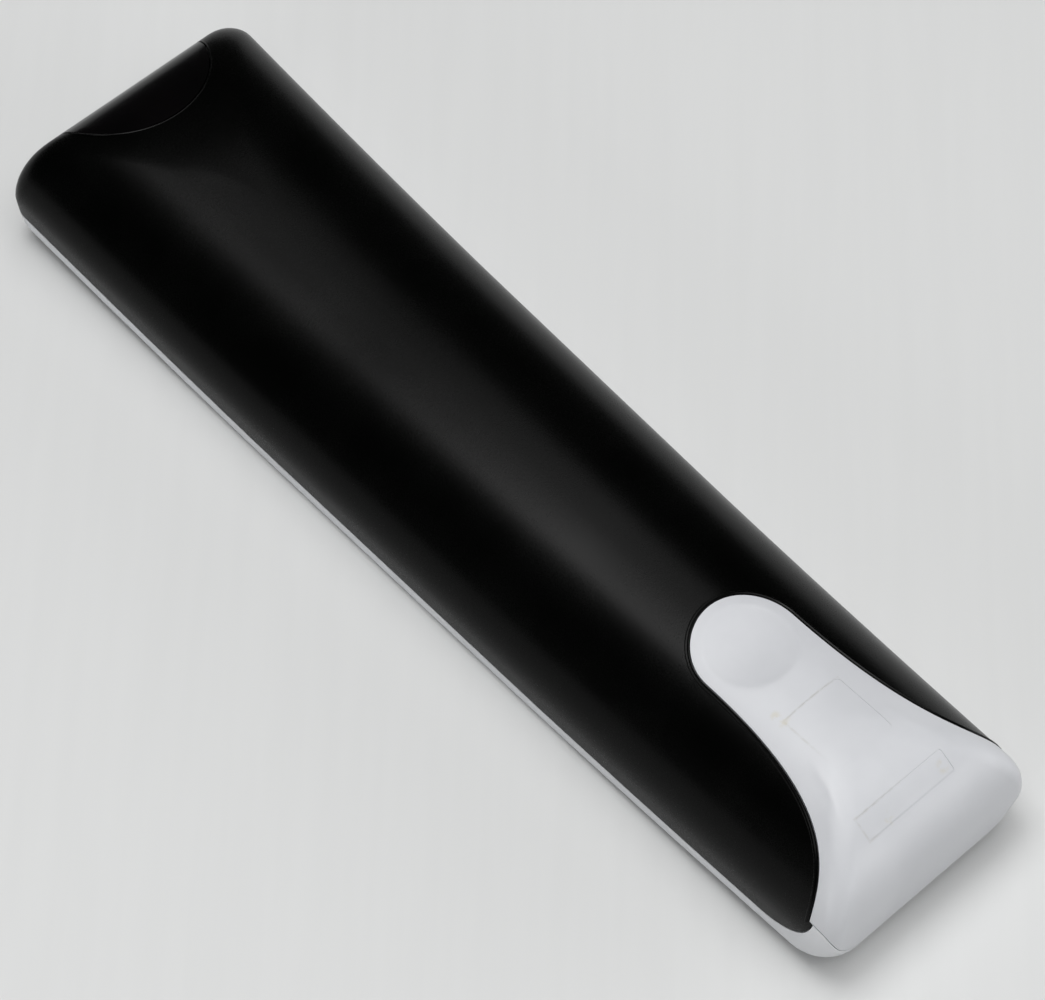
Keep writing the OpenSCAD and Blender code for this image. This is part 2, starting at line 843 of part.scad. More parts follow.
// A cone-shaped coil, swept along its helix
coil_turns = 3;
coil_r0 = 3.6;
coil_r1 = 2;
coil_sides = 6;
coil_rings = 8 * coil_turns;
module coil(length) {
    rise = length - spring_wire;
    rings = [
        for (i = [0:coil_rings])
            let (
                t = i / coil_rings,
                a = 360 * coil_turns * t,
                r = coil_r0 + (coil_r1 - coil_r0) * t
            )
            [
                for (j = [0:coil_sides - 1])
                    let (b = 360 * j / coil_sides, q = r + spring_wire / 2 * cos(b))
                    [q * cos(a), q * sin(a), spring_wire / 2 * (1 + sin(b)) + rise * t]
            ]
    ];
    n = coil_sides;
    last = coil_rings * n;
    walls = [
        for (k = [0:coil_rings - 1], j = [0:n - 1])
            let (a = k * n + j, b = k * n + (j + 1) % n)
            each [[a, b + n, a + n], [a, b, b + n]]
    ];
    polyhedron(
        [for (r = rings) each r],
        concat(walls, [[for (j = [n - 1:-1:0]) j], [for (j = [0:n - 1]) last + j]]),
        convexity = 8
    );
}

// Contact plates stand on the tray at both ends of the batteries
plate_w = 9;
plate_h = 8;
module plate(x, y, w) {
    translate([x - w / 2, y, tray_top + cell_gap])
        cube([w, contact_t, plate_h]);
}
plate_end_y = bay_y0 + cell_gap;
plate_ir_y = bay_y1 - cell_gap - contact_t;
module contact_positive() {
    color("silver") {
        plate(cell_pitch / 2, plate_ir_y, plate_w);
        translate([cell_pitch / 2, cell_y1 + cell_gap, cell_z])
            rotate([-90, 0, 0]) cylinder(d = button_d, h = plate_ir_y + contact_t / 2 - cell_y1 - cell_gap);
    }
}
module contact_negative() {
    color("silver") {
        plate(-cell_pitch / 2, plate_ir_y, plate_w);
        translate([-cell_pitch / 2, plate_ir_y - inner_gap, cell_z])
            rotate([90, 0, 0]) coil(plate_ir_y - cell_y1 - 2 * inner_gap);
    }
}
module contact_bridge() {
    color("silver")
        plate(0, plate_end_y, cell_pitch + plate_w);
}

front_shell();
back_shell();
battery_cover();
ir_window();
key_mat();
circuit_board();
board_screws();
indicator_lens();
ir_diodes();
microcontroller();
resonator();
capacitor();
battery_left();
battery_right();
contact_positive();
contact_negative();
contact_bridge();
for (k = KEYS)
    key(k);
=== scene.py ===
"""Looks of the universal remote control: shells, cover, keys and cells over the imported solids."""

import math
from collections import namedtuple

import bpy
from mathutils import Matrix, Vector


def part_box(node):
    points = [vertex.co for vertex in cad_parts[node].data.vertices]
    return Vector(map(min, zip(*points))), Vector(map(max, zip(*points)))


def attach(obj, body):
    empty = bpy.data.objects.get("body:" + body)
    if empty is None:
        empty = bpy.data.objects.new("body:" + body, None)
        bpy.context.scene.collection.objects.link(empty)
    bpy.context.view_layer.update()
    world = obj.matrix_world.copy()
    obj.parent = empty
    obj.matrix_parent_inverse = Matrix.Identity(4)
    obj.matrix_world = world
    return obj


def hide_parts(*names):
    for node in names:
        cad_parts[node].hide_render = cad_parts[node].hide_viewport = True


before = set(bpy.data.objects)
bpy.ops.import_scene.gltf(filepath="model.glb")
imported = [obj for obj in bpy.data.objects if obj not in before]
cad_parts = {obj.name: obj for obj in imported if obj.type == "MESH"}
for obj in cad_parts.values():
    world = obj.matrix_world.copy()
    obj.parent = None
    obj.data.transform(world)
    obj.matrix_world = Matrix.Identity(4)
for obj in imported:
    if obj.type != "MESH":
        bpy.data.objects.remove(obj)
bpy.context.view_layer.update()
MM = 0.001

# Sizes in millimetres, as in the part's source: the body
HALF_L = 109.0
W_IR, W_END = 58.0, 49.0
CROWN_IR, CROWN_END, CROWN_POWER = 19.0, 22.5, 2.0
RUN_IR, RUN_POWER_IR = 46.0, 3.2
RUN_END, RUN_POWER_END = 27.5, 2.4
CORNER_R, RIM_CORNER_IR, RIM_CORNER_END = 3.0, 5.0, 9.0
CORNER_SHARE = 0.9
ARCH_RISE, REST_HALF, ARCH_POWER = 3.6, 30.0, 1.6
PART_Z, BELLY_Z, EDGE_IN, EDGE_POWER = 4.6, 8.0, 2.4, 4.0
TOP_SHARE = math.sin(math.radians(84))
WALL, SEAM, COVER_T = 2.0, 0.25, 1.8
RIM_W, PANEL_DROP, PANEL_T = 2.4, 1.3, 1.6

# Cover, window, and the tips of the parting line beside the cover
HEAD_Y, HEAD_R, COVER_NECK = -62.8, 10.5, 21.8
FLARE_X, FLARE_Y, COVER_CORNER_Y = 14.5, 8.0, 5.0
END_LIP, LIP_HALF, HORN_H, HORN_RUN = 1.2, 12.5, 20.0, 12.5
TIP_RUN, TIP_H = 12.0, 10.0
TIP_Y = -HALF_L + COVER_CORNER_Y
TIP_START = TIP_Y + TIP_RUN
LIP_Z = ARCH_RISE + END_LIP
TONGUE_HALF, TONGUE_REACH = 3.0, 1.4
WINDOW_R, WINDOW_LIFT = 16.8, 3.0

# Keys, board, tray, cells and contacts
KEY_CLEAR, KEY_GAP, KEY_SEAT, KEY_TRAVEL = 0.3, 0.3, 0.4, 0.6
FLANGE_W, FLANGE_T, STEM_R = 0.8, 0.6, 1.5
POWER_X, POWER_Y, POWER_R, LENS_R = 15.0, 88.0, 4.4, 1.6
MODE_PITCH, MODE_Y, MODE_L, MODE_W = 11.4, 75.5, 8.6, 5.0
COLUMN_PITCH, ROUND_R, PLAY_Y, RECORD_Y = 13.4, 3.9, 64.5, 53.9
NAV_Y, OK_R, NAV_SIDE_X, NAV_SIDE_Y, NAV_SIDE_R = 29.0, 5.8, 17.0, 14.4, 3.4
ARROW_IN, ARROW_OUT, ARROW_GAP, ARROW_ROUND = 8.2, 14.6, 2.4, 1.2
ROCKER_X, ROCKER_Y, ROCKER_L, ROCKER_W, ROCKER_FLANGE = 14.5, -10.0, 24.0, 8.6, 6.0
MUTE_AWAY = 6.4
DIGIT_Y, DIGIT_PITCH, DIGIT_L, DIGIT_W = -35.0, 11.0, 9.6, 6.6
INNER_GAP, MAT_T, BOARD_T, BOARD_IN = 0.2, 1.0, 1.4, 3.8
POST_R, PILOT_R, POST_IN, POST_PLACES = 2.6, 1.2, 2.4, (52.0, -24.0)
TAB_L, TAB_T, TAB_RISE, TAB_PLACES = 9.0, 1.2, 2.2, (80.0, 8.0, -45.0)
TRAY_LIFT, TRAY_T = 1.1, 1.1
CELL_D, CELL_L, CELL_PITCH, CELL_GAP = 10.5, 44.5, 10.9, 0.25
BUTTON_D, BUTTON_L = 3.8, 1.0
CONTACT_T, SPRING_L, SPRING_WIRE = 0.5, 4.6, 0.7
PLATE_W, PLATE_H = 9.0, 8.0

# Details that only the looks have: how much the corners of the crown grow towards its top
CORNER_GROW_IR, CORNER_GROW_END = 4.0, 0.5
# A shallower, wider dimple with a soft edge, and creases as points of a line with their heights
DIMPLE_R, DIMPLE_DEPTH, DIMPLE_EDGE = 8.7, 0.75, 0.14
CREASE = ((8.1, -85.0), (9.1, -88.9), (10.4, -93.9), (13.1, -100.4), (14.2, -104.1))
CREASE_RISE, CREASE_HALF, CREASE_FADE = 0.10, 0.9, 4.0
# Only skin over these heights is pressed or raised
DIMPLE_Z, CREASE_Z = 20.0, 12.0
# Bare fields: half width, two ends along the cover, corner radius
LABEL_FIELDS = ((6.5, -91.0, -77.5, 1.0), (10.2, -102.5, -98.5, 0.5))
FIELD_DEPTH = 0.08
# Handled smudges: place and radius
SMUDGES = ((-6.4, -77.7, 1.6), (-6.7, -75.7, 1.2), (8.7, -100.9, 1.5), (-4.8, -101.7, 1.4))
# Beads along the cover's seam and the window's edge
BEAD_R, BEAD_SINK, BEAD_REACH = 0.42, 0.24, 0.985
LIP_BEAD_R = 0.14
CAP_ROUND = 0.9
PLATE_ROUND, WRAP_IN = 1.5, 0.06
COIL_TURNS, COIL_FOOT_R, COIL_TIP_R = 3, 3.6, 2.0
SIGN_W, SIGN_T, SIGN_ROOT, DIGIT_H = 0.42, 0.06, 0.12, 4.4
# Length of the middle line in a floor, as a share of the floor's own length
FLOOR_MIDDLE = 0.97
# How far cutters reach past the body, and a height over everything
PAST = 5.0
ZONE_TOP = 60.0


def oval(share, power):
    return max(0.0, 1 - share ** power) ** (1 / power)


def arch(y):
    return ARCH_RISE * max(0.0, (abs(y) - REST_HALF) / (HALF_L - REST_HALF)) ** ARCH_POWER


def along(y, end, ir):
    return end + (ir - end) * (y + HALF_L) / (2 * HALF_L)


def half_w(y):
    return along(y, W_END, W_IR) / 2


def crown_h(y):
    return along(y, CROWN_END, CROWN_IR)


def edge_inset(z):
    return EDGE_IN * (1 - oval(1 - min(max(z, 0), BELLY_Z) / BELLY_Z, EDGE_POWER))


def back_z(x, y):
    """Height of the back's surface over a place of the plan."""
    low, high = 0.0, 1.0
    for _ in range(30):
        s = (low + high) / 2
        inside = (abs(x) <= half_w(y) * oval(s, CROWN_POWER)
                  and y <= HALF_L - RUN_IR * (1 - oval(s, RUN_POWER_IR))
                  and y >= -HALF_L + RUN_END * (1 - oval(s, RUN_POWER_END)))
        low, high = (s, high) if inside else (low, s)
    return BELLY_Z + arch(y) + low * TOP_SHARE * crown_h(y)


def crown_top(y, inset):
    return BELLY_Z + arch(y) + (crown_h(y) - inset) * TOP_SHARE


# Heights over the rim, from the key panel up to the batteries, and places along the bay
PANEL_IN = PANEL_DROP + PANEL_T
FLANGE_Z = PANEL_IN + KEY_SEAT
MAT_Z = FLANGE_Z + FLANGE_T + KEY_TRAVEL + arch(POWER_Y) + INNER_GAP
BOARD_Z = MAT_Z + MAT_T + INNER_GAP
STEM_TOP = BOARD_Z - KEY_TRAVEL - KEY_SEAT
TRAY_Z = BOARD_Z + BOARD_T + TRAY_LIFT
TRAY_TOP = TRAY_Z + TRAY_T
CELL_Z = TRAY_TOP + CELL_GAP + CELL_D / 2
CELL_TOP = CELL_Z + CELL_D / 2
CELL_Y0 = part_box("battery_left")[0][1] / MM
CELL_Y1 = CELL_Y0 + CELL_L
BAY_HALF = (CELL_PITCH + CELL_D) / 2 + 2 * INNER_GAP
BAY_Y0 = CELL_Y0 - CONTACT_T - 2 * CELL_GAP
BAY_Y1 = CELL_Y1 + SPRING_L + CONTACT_T + 2 * CELL_GAP
PLATE_END_Y = BAY_Y0 + CELL_GAP
PLATE_IR_Y = BAY_Y1 - CELL_GAP - CONTACT_T


# Modelling, one operator after another

def pick_nothing():
    if bpy.context.mode != "OBJECT":
        bpy.ops.object.mode_set(mode="OBJECT")
    bpy.ops.object.select_all(action="DESELECT")


def work_on(piece):
    pick_nothing()
    piece.select_set(True)
    bpy.context.view_layer.objects.active = piece


def place(piece, points):
    """Moves the vertices of a fresh primitive to their places, in millimetres."""
    for vertex, point in zip(piece.data.vertices, points):
        vertex.co = Vector(point) * MM


def edit(piece, *steps):
    """Runs edit-mode steps on the whole mesh of a piece."""
    work_on(piece)
    bpy.ops.object.mode_set(mode="EDIT")
    bpy.ops.mesh.select_all(action="SELECT")
    for step in steps:
        step()
    bpy.ops.object.mode_set(mode="OBJECT")


def close_ends():
    bpy.ops.mesh.remove_doubles(threshold=1e-6)
    bpy.ops.mesh.select_all(action="DESELECT")
    bpy.ops.mesh.select_non_manifold()
    bpy.ops.mesh.edge_face_add()
    bpy.ops.mesh.select_all(action="SELECT")
    bpy.ops.mesh.normals_make_consistent(inside=False)


def stack(name, rings):
    """A closed skin through a stack of closed rings of points."""
    pick_nothing()
    m, n = len(rings[0]), len(rings)
    bpy.ops.mesh.primitive_grid_add(x_subdivisions=m, y_subdivisions=n - 1)
    piece = bpy.context.object
    piece.name = name
    place(piece, [p for r in rings for p in r + r[:1]])
    edit(piece, close_ends)
    return piece


def prism(name, outline, low, high, lay):
    """A flat outline, laid in one of the ways below, drawn out from low to high."""
    pick_nothing()
    bpy.ops.mesh.primitive_circle_add(vertices=len(outline), fill_type="NGON")
    piece = bpy.context.object
    piece.name = name
    place(piece, [lay(a, b, low) for a, b in outline])
    move = (Vector(lay(0, 0, high)) - Vector(lay(0, 0, low))) * MM
    edit(piece,
         lambda: bpy.ops.mesh.extrude_region_move(TRANSFORM_OT_translate={"value": move}),
         lambda: bpy.ops.mesh.select_all(action="SELECT"),
         lambda: bpy.ops.mesh.normals_make_consistent(inside=False))
    return piece


# Ways to lay a flat outline: each turns its two values and a depth into a place

def upright(x, y, z):
    return x, y, z


def across(y, z, x):
    return x, y, z


def lengthwise(x, z, y):
    return x, y, z


def finish_modifier(piece, kind, **settings):
    work_on(piece)
    modifier = piece.modifiers.new(kind.lower(), kind)
    for key, value in settings.items():
        setattr(modifier, key, value)
    bpy.ops.object.modifier_apply(modifier=modifier.name)


def cut(piece, tool, how="DIFFERENCE"):
    finish_modifier(piece, "BOOLEAN", operation=how, solver="MANIFOLD", object=tool)
    bpy.data.objects.remove(tool)


def smooth(piece, angle=32):
    work_on(piece)
    bpy.ops.object.shade_smooth_by_angle(angle=math.radians(angle))
    return piece


def join(name, pieces):
    work_on(pieces[0])
    for other in pieces[1:]:
        other.select_set(True)
    bpy.ops.object.join()
    pieces[0].name = name
    return pieces[0]


# Outlines

def stations(start, end, steps):
    return [start + (end - start) * i / steps for i in range(steps + 1)]


def arc_line(cx, cy, r, start, end, steps):
    angles = [math.radians(a) for a in stations(start, end, steps)]
    return [(cx + r * math.cos(a), cy + r * math.sin(a)) for a in angles]


def circle_line(x, y, r, steps=40):
    return arc_line(x, y, r, 0, 360, steps)[:-1]


def rounded_box(x0, y0, x1, y1, r, steps=6):
    return (arc_line(x1 - r, y1 - r, r, 0, 90, steps) + arc_line(x0 + r, y1 - r, r, 90, 180, steps)
            + arc_line(x0 + r, y0 + r, r, 180, 270, steps)
            + arc_line(x1 - r, y0 + r, r, 270, 360, steps))


def turn(line, degrees):
    c, s = math.cos(math.radians(degrees)), math.sin(math.radians(degrees))
    return [(c * x - s * y, s * x + c * y) for x, y in line]


# Forms of the body

def body_ring(side_in, share, ir_in, end_in, r_ir, r_end, lift, rise, round_steps, long_steps):
    """One ring of the body at a height, with round corners, from the infra-red end round."""
    y1, y0 = HALF_L - ir_in - r_ir, -HALF_L + end_in + r_end

    def width(y):
        return (half_w(y) - side_in) * share

    half = arc_line(width(y1) - r_ir, y1, r_ir, 90, 0, round_steps)
    half += [(width(y), y) for y in stations(y1, y0, long_steps)[1:-1]]
    half += arc_line(width(y0) - r_end, y0, r_end, 0, -90, round_steps)
    full = half + [(-x, y) for x, y in reversed(half)]
    return [(x, y, lift + arch(y) + rise * TOP_SHARE * crown_h(y)) for x, y in full]


def body(name, inset=0.0, floor_z=0.0, edge_steps=9, crown_steps=38, round_steps=8,
         long_steps=72):
    """The pillow form of the whole remote, or its inside behind a wall.

    The floor runs in from its edge to a line along the middle, so that it arches evenly.
    """
    steps = (round_steps, long_steps)
    rings = []
    a0 = math.acos(1 - max(floor_z, 0) / BELLY_Z)
    for i, a in enumerate(stations(a0, math.pi / 2, edge_steps)[:-1]):
        z = BELLY_Z * (1 - math.cos(a))
        d = inset + edge_inset(z)
        r_ir, r_end = (r + (CORNER_R - r) * z / BELLY_Z - inset
                       for r in (RIM_CORNER_IR, RIM_CORNER_END))
        rings.append(body_ring(d, 1, d, d, r_ir, r_end, floor_z if i == 0 else z, 0, *steps))
    middle = [FLOOR_MIDDLE * y for _, y, _ in rings[0]]
    rings.insert(0, [(0, y, floor_z + arch(y)) for y in middle])
    for a in stations(0, math.pi / 2, crown_steps):
        s = math.sin(a)
        w = oval(s, CROWN_POWER)
        r_ir, r_end = (min(CORNER_R - inset + grow * s, CORNER_SHARE * (W_END / 2 - inset) * w)
                       for grow in (CORNER_GROW_IR, CORNER_GROW_END))
        rings.append(body_ring(inset, w,
                               inset + (RUN_IR - inset) * (1 - oval(s, RUN_POWER_IR)),
                               inset + (RUN_END - inset) * (1 - oval(s, RUN_POWER_END)),
                               r_ir, r_end, BELLY_Z - inset * s, s, *steps))
    return stack(name, rings)


def core(inset, floor_z=PANEL_IN):
    """The room inside a wall, over a floor."""
    return body("core", inset, floor_z, edge_steps=5, crown_steps=14, round_steps=5, long_steps=30)


def parting_line(d, tip_steps=12):
    """The line between back and front, seen from the side, with its rounded tip; moved up by d."""
    line = [(y, PART_Z + arch(y) + d) for y in stations(HALF_L + PAST, TIP_START, 60)]
    for a in stations(0, math.pi / 2, tip_steps)[1:]:
        line.append((TIP_START - (TIP_RUN - d) * math.sin(a),
                     PART_Z + arch(TIP_START) + d + (TIP_H - d) * (1 - math.cos(a))))
    return line


def back_zone():
    line = parting_line(SEAM / 2) + [(TIP_Y + SEAM / 2, ZONE_TOP), (HALF_L + PAST, ZONE_TOP)]
    return prism("back_zone", line, -W_IR, W_IR, across)


def front_zone():
    line = parting_line(-SEAM / 2) + [(TIP_Y - SEAM / 2, ZONE_TOP), (-HALF_L - PAST, ZONE_TOP),
                                      (-HALF_L - PAST, -PAST), (HALF_L + PAST, -PAST)]
    return prism("front_zone", line, -W_IR, W_IR, across)


def above_lip(d, y0, y1, horn_steps=24):
    """All that is over the cover's lower edge at its end, seen along the body."""
    horn = []
    for a in stations(0, math.pi / 2, horn_steps):
        horn.append((LIP_HALF + HORN_RUN * math.sin(a), LIP_Z + d + HORN_H * (1 - math.cos(a))))
    line = [(-x, z) for x, z in reversed(horn)] + horn
    top = [(W_IR, horn[-1][1]), (W_IR, ZONE_TOP), (-W_IR, ZONE_TOP), (-W_IR, horn[-1][1])]
    return prism("above_lip", line + top, y0, y1, lengthwise)


def cover_side(d, flare_steps=40):
    """One half of the cover's outline: a round head, then a side that flares to the corner."""
    p = [(HEAD_R + d, HEAD_Y), (HEAD_R + d, HEAD_Y - COVER_NECK),
         (FLARE_X + d, -HALF_L + FLARE_Y + d), (W_END / 2 + WALL, -HALF_L + COVER_CORNER_Y + d)]
    side = arc_line(0, HEAD_Y, HEAD_R + d, 90, 0, 24)
    for t in stations(0, 1, flare_steps)[1:]:
        k = ((1 - t) ** 3, 3 * (1 - t) ** 2 * t, 3 * (1 - t) * t * t, t ** 3)
        side.append(tuple(sum(k[j] * p[j][axis] for j in range(4)) for axis in (0, 1)))
    return side


def cover_plan(d, low):
    side = cover_side(d)
    corner = side[-1][0]
    line = side + [(corner, -HALF_L - PAST), (-corner, -HALF_L - PAST)]
    line += [(-x, y) for x, y in reversed(side[1:])]
    return prism("cover_plan", line, low, ZONE_TOP, upright)


def window_plan(d):
    z = PART_Z + arch(HALF_L) + WINDOW_LIFT
    return prism("window_plan", circle_line(0, HALF_L, WINDOW_R + d, 96), z - d, ZONE_TOP, upright)


def block(name, low, high):
    """A box between its lowest and highest corners."""
    (x0, y0, z0), (x1, y1, z1) = low, high
    return prism(name, [(x0, y0), (x1, y0), (x1, y1), (x0, y1)], z0, z1, upright)


def tube(name, middles, normals, r, sides=10):
    """A closed tube along a row of places; the normals point away from what it lies on."""
    rings = []
    for i, (middle, normal) in enumerate(zip(middles, normals)):
        along_path = middles[min(i + 1, len(middles) - 1)] - middles[max(i - 1, 0)]
        side = along_path.cross(normal).normalized()
        up = side.cross(along_path).normalized()
        rings.append([tuple(middle + a * side + b * up) for a, b in circle_line(0, 0, r, sides)])
    return stack(name, rings)


def back_normal(x, y, step=0.05):
    slope_x = (back_z(x + step, y) - back_z(x - step, y)) / (2 * step)
    slope_y = (back_z(x, y + step) - back_z(x, y - step)) / (2 * step)
    return Vector((-slope_x, -slope_y, 1)).normalized()


def make_seam_bead():
    """The thin raised bead along the back shell's edge around the cover."""
    side = [(x, y) for x, y in cover_side(SEAM / 2 + BEAD_R) if x < BEAD_REACH * half_w(y)]
    line = [(-x, y) for x, y in reversed(side[1:])] + side
    normals = [back_normal(x, y) for x, y in line]
    middles = [Vector((x, y, back_z(x, y))) - BEAD_SINK * n for (x, y), n in zip(line, normals)]
    return tube("seam_bead", middles, normals, BEAD_R)


def make_window_bead():
    """A hair-thin rounded lip along the back shell's edge around the window."""
    line = arc_line(0, HALF_L, WINDOW_R + SEAM / 2 + LIP_BEAD_R, 190, 350, 60)
    normals = [back_normal(x, y) for x, y in line]
    middles = [Vector((x, y, back_z(x, y))) - LIP_BEAD_R / 2 * n
               for (x, y), n in zip(line, normals)]
    return tube("window_bead", middles, normals, LIP_BEAD_R, 8)


def make_tray():
    """The tray that the cells lie in, from wall to wall."""
    deck = block("tray_deck", (-W_IR / 2, TIP_START + PAST, TRAY_Z),
                 (W_IR / 2, BAY_Y1 + TRAY_T, TRAY_TOP))
    cut(deck, core(WALL / 2), "INTERSECT")
    walls = block("tray_walls", (-BAY_HALF - TRAY_T, BAY_Y0 - TRAY_T, TRAY_Z),
                  (BAY_HALF + TRAY_T, BAY_Y1 + TRAY_T, CELL_TOP))
    cut(walls, block("bay", (-BAY_HALF, BAY_Y0, TRAY_TOP), (BAY_HALF, BAY_Y1, ZONE_TOP)))
    cut(walls, core(max(WALL, COVER_T) + SEAM), "INTERSECT")
    cut(walls, deck, "UNION")
    return walls


def make_back_shell():
    piece = body("back_skin")
    cut(piece, back_zone(), "INTERSECT")
    cut(piece, core(WALL))
    cover_room = cover_plan(SEAM / 2, -PAST)
    cut(cover_room, above_lip(-SEAM / 2, -HALF_L - PAST, HEAD_Y + 2 * HEAD_R), "INTERSECT")
    cut(piece, cover_room)
    cut(piece, window_plan(SEAM / 2))
    cut(piece, make_seam_bead(), "UNION")
    cut(piece, make_window_bead(), "UNION")
    cut(piece, make_tray(), "UNION")
    return smooth(piece)


def press_dimple(piece):
    """Presses the thumb dimple, a round dish with a narrow edge, into the cover's head."""
    for vertex in piece.data.vertices:
        r = math.hypot(vertex.co.x / MM, vertex.co.y / MM - HEAD_Y) / DIMPLE_R
        if r < 1 and vertex.co.z > DIMPLE_Z * MM:
            dish = 1 - r * r
            edge = min(1.0, (1 - r) / DIMPLE_EDGE)
            vertex.co.z -= DIMPLE_DEPTH * dish * edge * (2 - edge) * MM


def raise_crease(piece):
    """Raises the two soft creases that run from the field to the cover's corners."""
    for vertex in piece.data.vertices:
        x, y = abs(vertex.co.x) / MM, vertex.co.y / MM
        for (x0, y0), (x1, y1) in zip(CREASE, CREASE[1:]):
            if y1 <= y < y0 and vertex.co.z > CREASE_Z * MM:
                away = (x - x0 - (x1 - x0) * (y - y0) / (y1 - y0)) / CREASE_HALF
                fade = min(1.0, (CREASE[0][1] - y) / CREASE_FADE, (y - CREASE[-1][1]) / CREASE_FADE)
                vertex.co.z += CREASE_RISE * fade * math.exp(-away * away) * MM


def make_label_field(x, y0, y1, r):
    """Cutter for a bare, shallow field in the cover that follows its surface."""
    piece = prism("label_field", rounded_box(-x, y0, x, y1, r), BELLY_Z, ZONE_TOP, upright)
    cut(piece, body("field_floor", FIELD_DEPTH))
    return piece


def make_tongue():
    """The tongue at the cover's head that hooks under the back shell."""
    root = HEAD_Y + HEAD_R - SEAM - 2 * COVER_T
    top = crown_top(HEAD_Y + HEAD_R + TONGUE_REACH, WALL) - 2 * SEAM
    hook = block("tongue_hook", (-TONGUE_HALF, root, top - COVER_T),
                 (TONGUE_HALF, root + 2 * COVER_T + TONGUE_REACH, top))
    heel = block("tongue_heel", (-TONGUE_HALF, root, top - COVER_T),
                 (TONGUE_HALF, root + 2 * COVER_T - SEAM, top + COVER_T))
    cut(hook, heel, "UNION")
    return hook


def make_battery_cover():
    piece = body("cover_skin", crown_steps=84, long_steps=400)
    press_dimple(piece)
    raise_crease(piece)
    cut(piece, cover_plan(-SEAM / 2, -PAST), "INTERSECT")
    cut(piece, above_lip(SEAM / 2, -HALF_L - PAST, HEAD_Y + 2 * HEAD_R), "INTERSECT")
    cut(piece, core(COVER_T, -PAST))
    for field in LABEL_FIELDS:
        cut(piece, make_label_field(*field))
    cut(piece, make_tongue(), "UNION")
    return smooth(piece)


def make_ir_window():
    piece = body("window_skin")
    cut(piece, window_plan(-SEAM / 2), "INTERSECT")
    cut(piece, core(WALL))
    return smooth(piece)


def make_panel_dish():
    """Cutter for the sunken key panel: an outline inside the rim, over an arched floor."""
    d = EDGE_IN + RIM_W
    ring = body_ring(d, 1, d, d, RIM_CORNER_IR - d / 2, RIM_CORNER_END - d / 2, 0, 0, 8, 2)
    piece = prism("panel_dish", [(x, y) for x, y, _ in ring], -PAST, ZONE_TOP, upright)
    floor_line = [(y, PANEL_DROP + arch(y)) for y in stations(HALF_L, -HALF_L, 80)]
    floor_line += [(-HALF_L, -2 * PAST), (HALF_L, -2 * PAST)]
    cut(piece, prism("panel_floor", floor_line, -W_IR, W_IR, across), "INTERSECT")
    return piece


def make_post(x, y):
    """A post for the board, with a pilot hole for its screw."""
    root, pilot = (PANEL_IN + arch(y) + side * PANEL_T / 2 for side in (-1, 1))
    post = prism("post", circle_line(x, y, POST_R), root, BOARD_Z - INNER_GAP, upright)
    cut(post, prism("pilot", circle_line(x, y, PILOT_R), pilot, ZONE_TOP, upright))
    return post


def make_tab(x, y):
    """A tab inside the wall that keys the back shell to the front."""
    low = PANEL_IN + arch(y) - PANEL_T / 2
    return block("tab", (x - TAB_T / 2, y - TAB_L / 2, low),
                 (x + TAB_T / 2, y + TAB_L / 2, low + PART_Z - PANEL_IN + TAB_RISE))


def make_front_shell():
    piece = body("front_skin")
    cut(piece, front_zone(), "INTERSECT")
    cut(piece, core(WALL))
    cut(piece, above_lip(-SEAM / 2, -HALF_L - PAST, TIP_START))
    cut(piece, make_panel_dish())
    slots = [prism("slot", key_line(key, KEY_GAP), -PAST, BELLY_Z, upright) for key in KEYS]
    lens_line = circle_line(0, POWER_Y, LENS_R + KEY_GAP)
    slots.append(prism("slot", lens_line, -PAST, BELLY_Z, upright))
    cut(piece, join("slots", slots))
    tab_in = WALL + edge_inset(PART_Z) + 2 * INNER_GAP + TAB_T / 2
    for side in (-1, 1):
        for y in POST_PLACES:
            cut(piece, make_post(side * (half_w(y) - BOARD_IN - POST_IN), y), "UNION")
        for y in TAB_PLACES:
            cut(piece, make_tab(side * (half_w(y) - tab_in), y), "UNION")
    return smooth(piece)


# Keys of the face, each with its kind, its place, and one or two sizes of that kind.
# Seen from the face, +X is on the left.

Key = namedtuple("Key", "name kind x y first second", defaults=(0,))


def key_row(names, kind, pitch, y, *sizes):
    """A row of keys with an even pitch about the middle."""
    names = names.split()
    middle = (len(names) - 1) / 2
    return [Key("key_" + name, kind, (middle - i) * pitch, y, *sizes)
            for i, name in enumerate(names)]


def key_rows():
    keys = key_row("power source", "round", 2 * POWER_X, POWER_Y, POWER_R)
    keys += key_row("tv disc box audio", "pill", MODE_PITCH, MODE_Y, MODE_L, MODE_W)
    keys += key_row("rewind play forward", "round", COLUMN_PITCH, PLAY_Y, ROUND_R)
    keys += key_row("record stop pause", "round", COLUMN_PITCH, RECORD_Y, ROUND_R)
    for names, side in (("menu guide", 1), ("back exit", -1)):
        keys += key_row(names, "round", 2 * NAV_SIDE_X, NAV_Y + side * NAV_SIDE_Y, NAV_SIDE_R)
    keys.append(Key("key_ok", "round", 0, NAV_Y, OK_R))
    for i, name in enumerate(("left", "up", "right", "down")):
        keys.append(Key("key_" + name, "arrow", 0, NAV_Y, 90 * i))
    keys += key_row("volume channel", "rocker", 2 * ROCKER_X, ROCKER_Y, ROCKER_L, ROCKER_W)
    for name, side in (("mute", 1), ("info", -1)):
        keys += key_row(name, "round", 0, ROCKER_Y + side * MUTE_AWAY, ROUND_R)
    for row, names in enumerate(("1 2 3", "4 5 6", "7 8 9", "clear 0 enter")):
        y = DIGIT_Y - row * DIGIT_PITCH
        keys += key_row(names, "pill", COLUMN_PITCH, y, DIGIT_L, DIGIT_W)
    return keys


ARROW_MID = (ARROW_IN + ARROW_OUT) / 2
KEYS = key_rows()


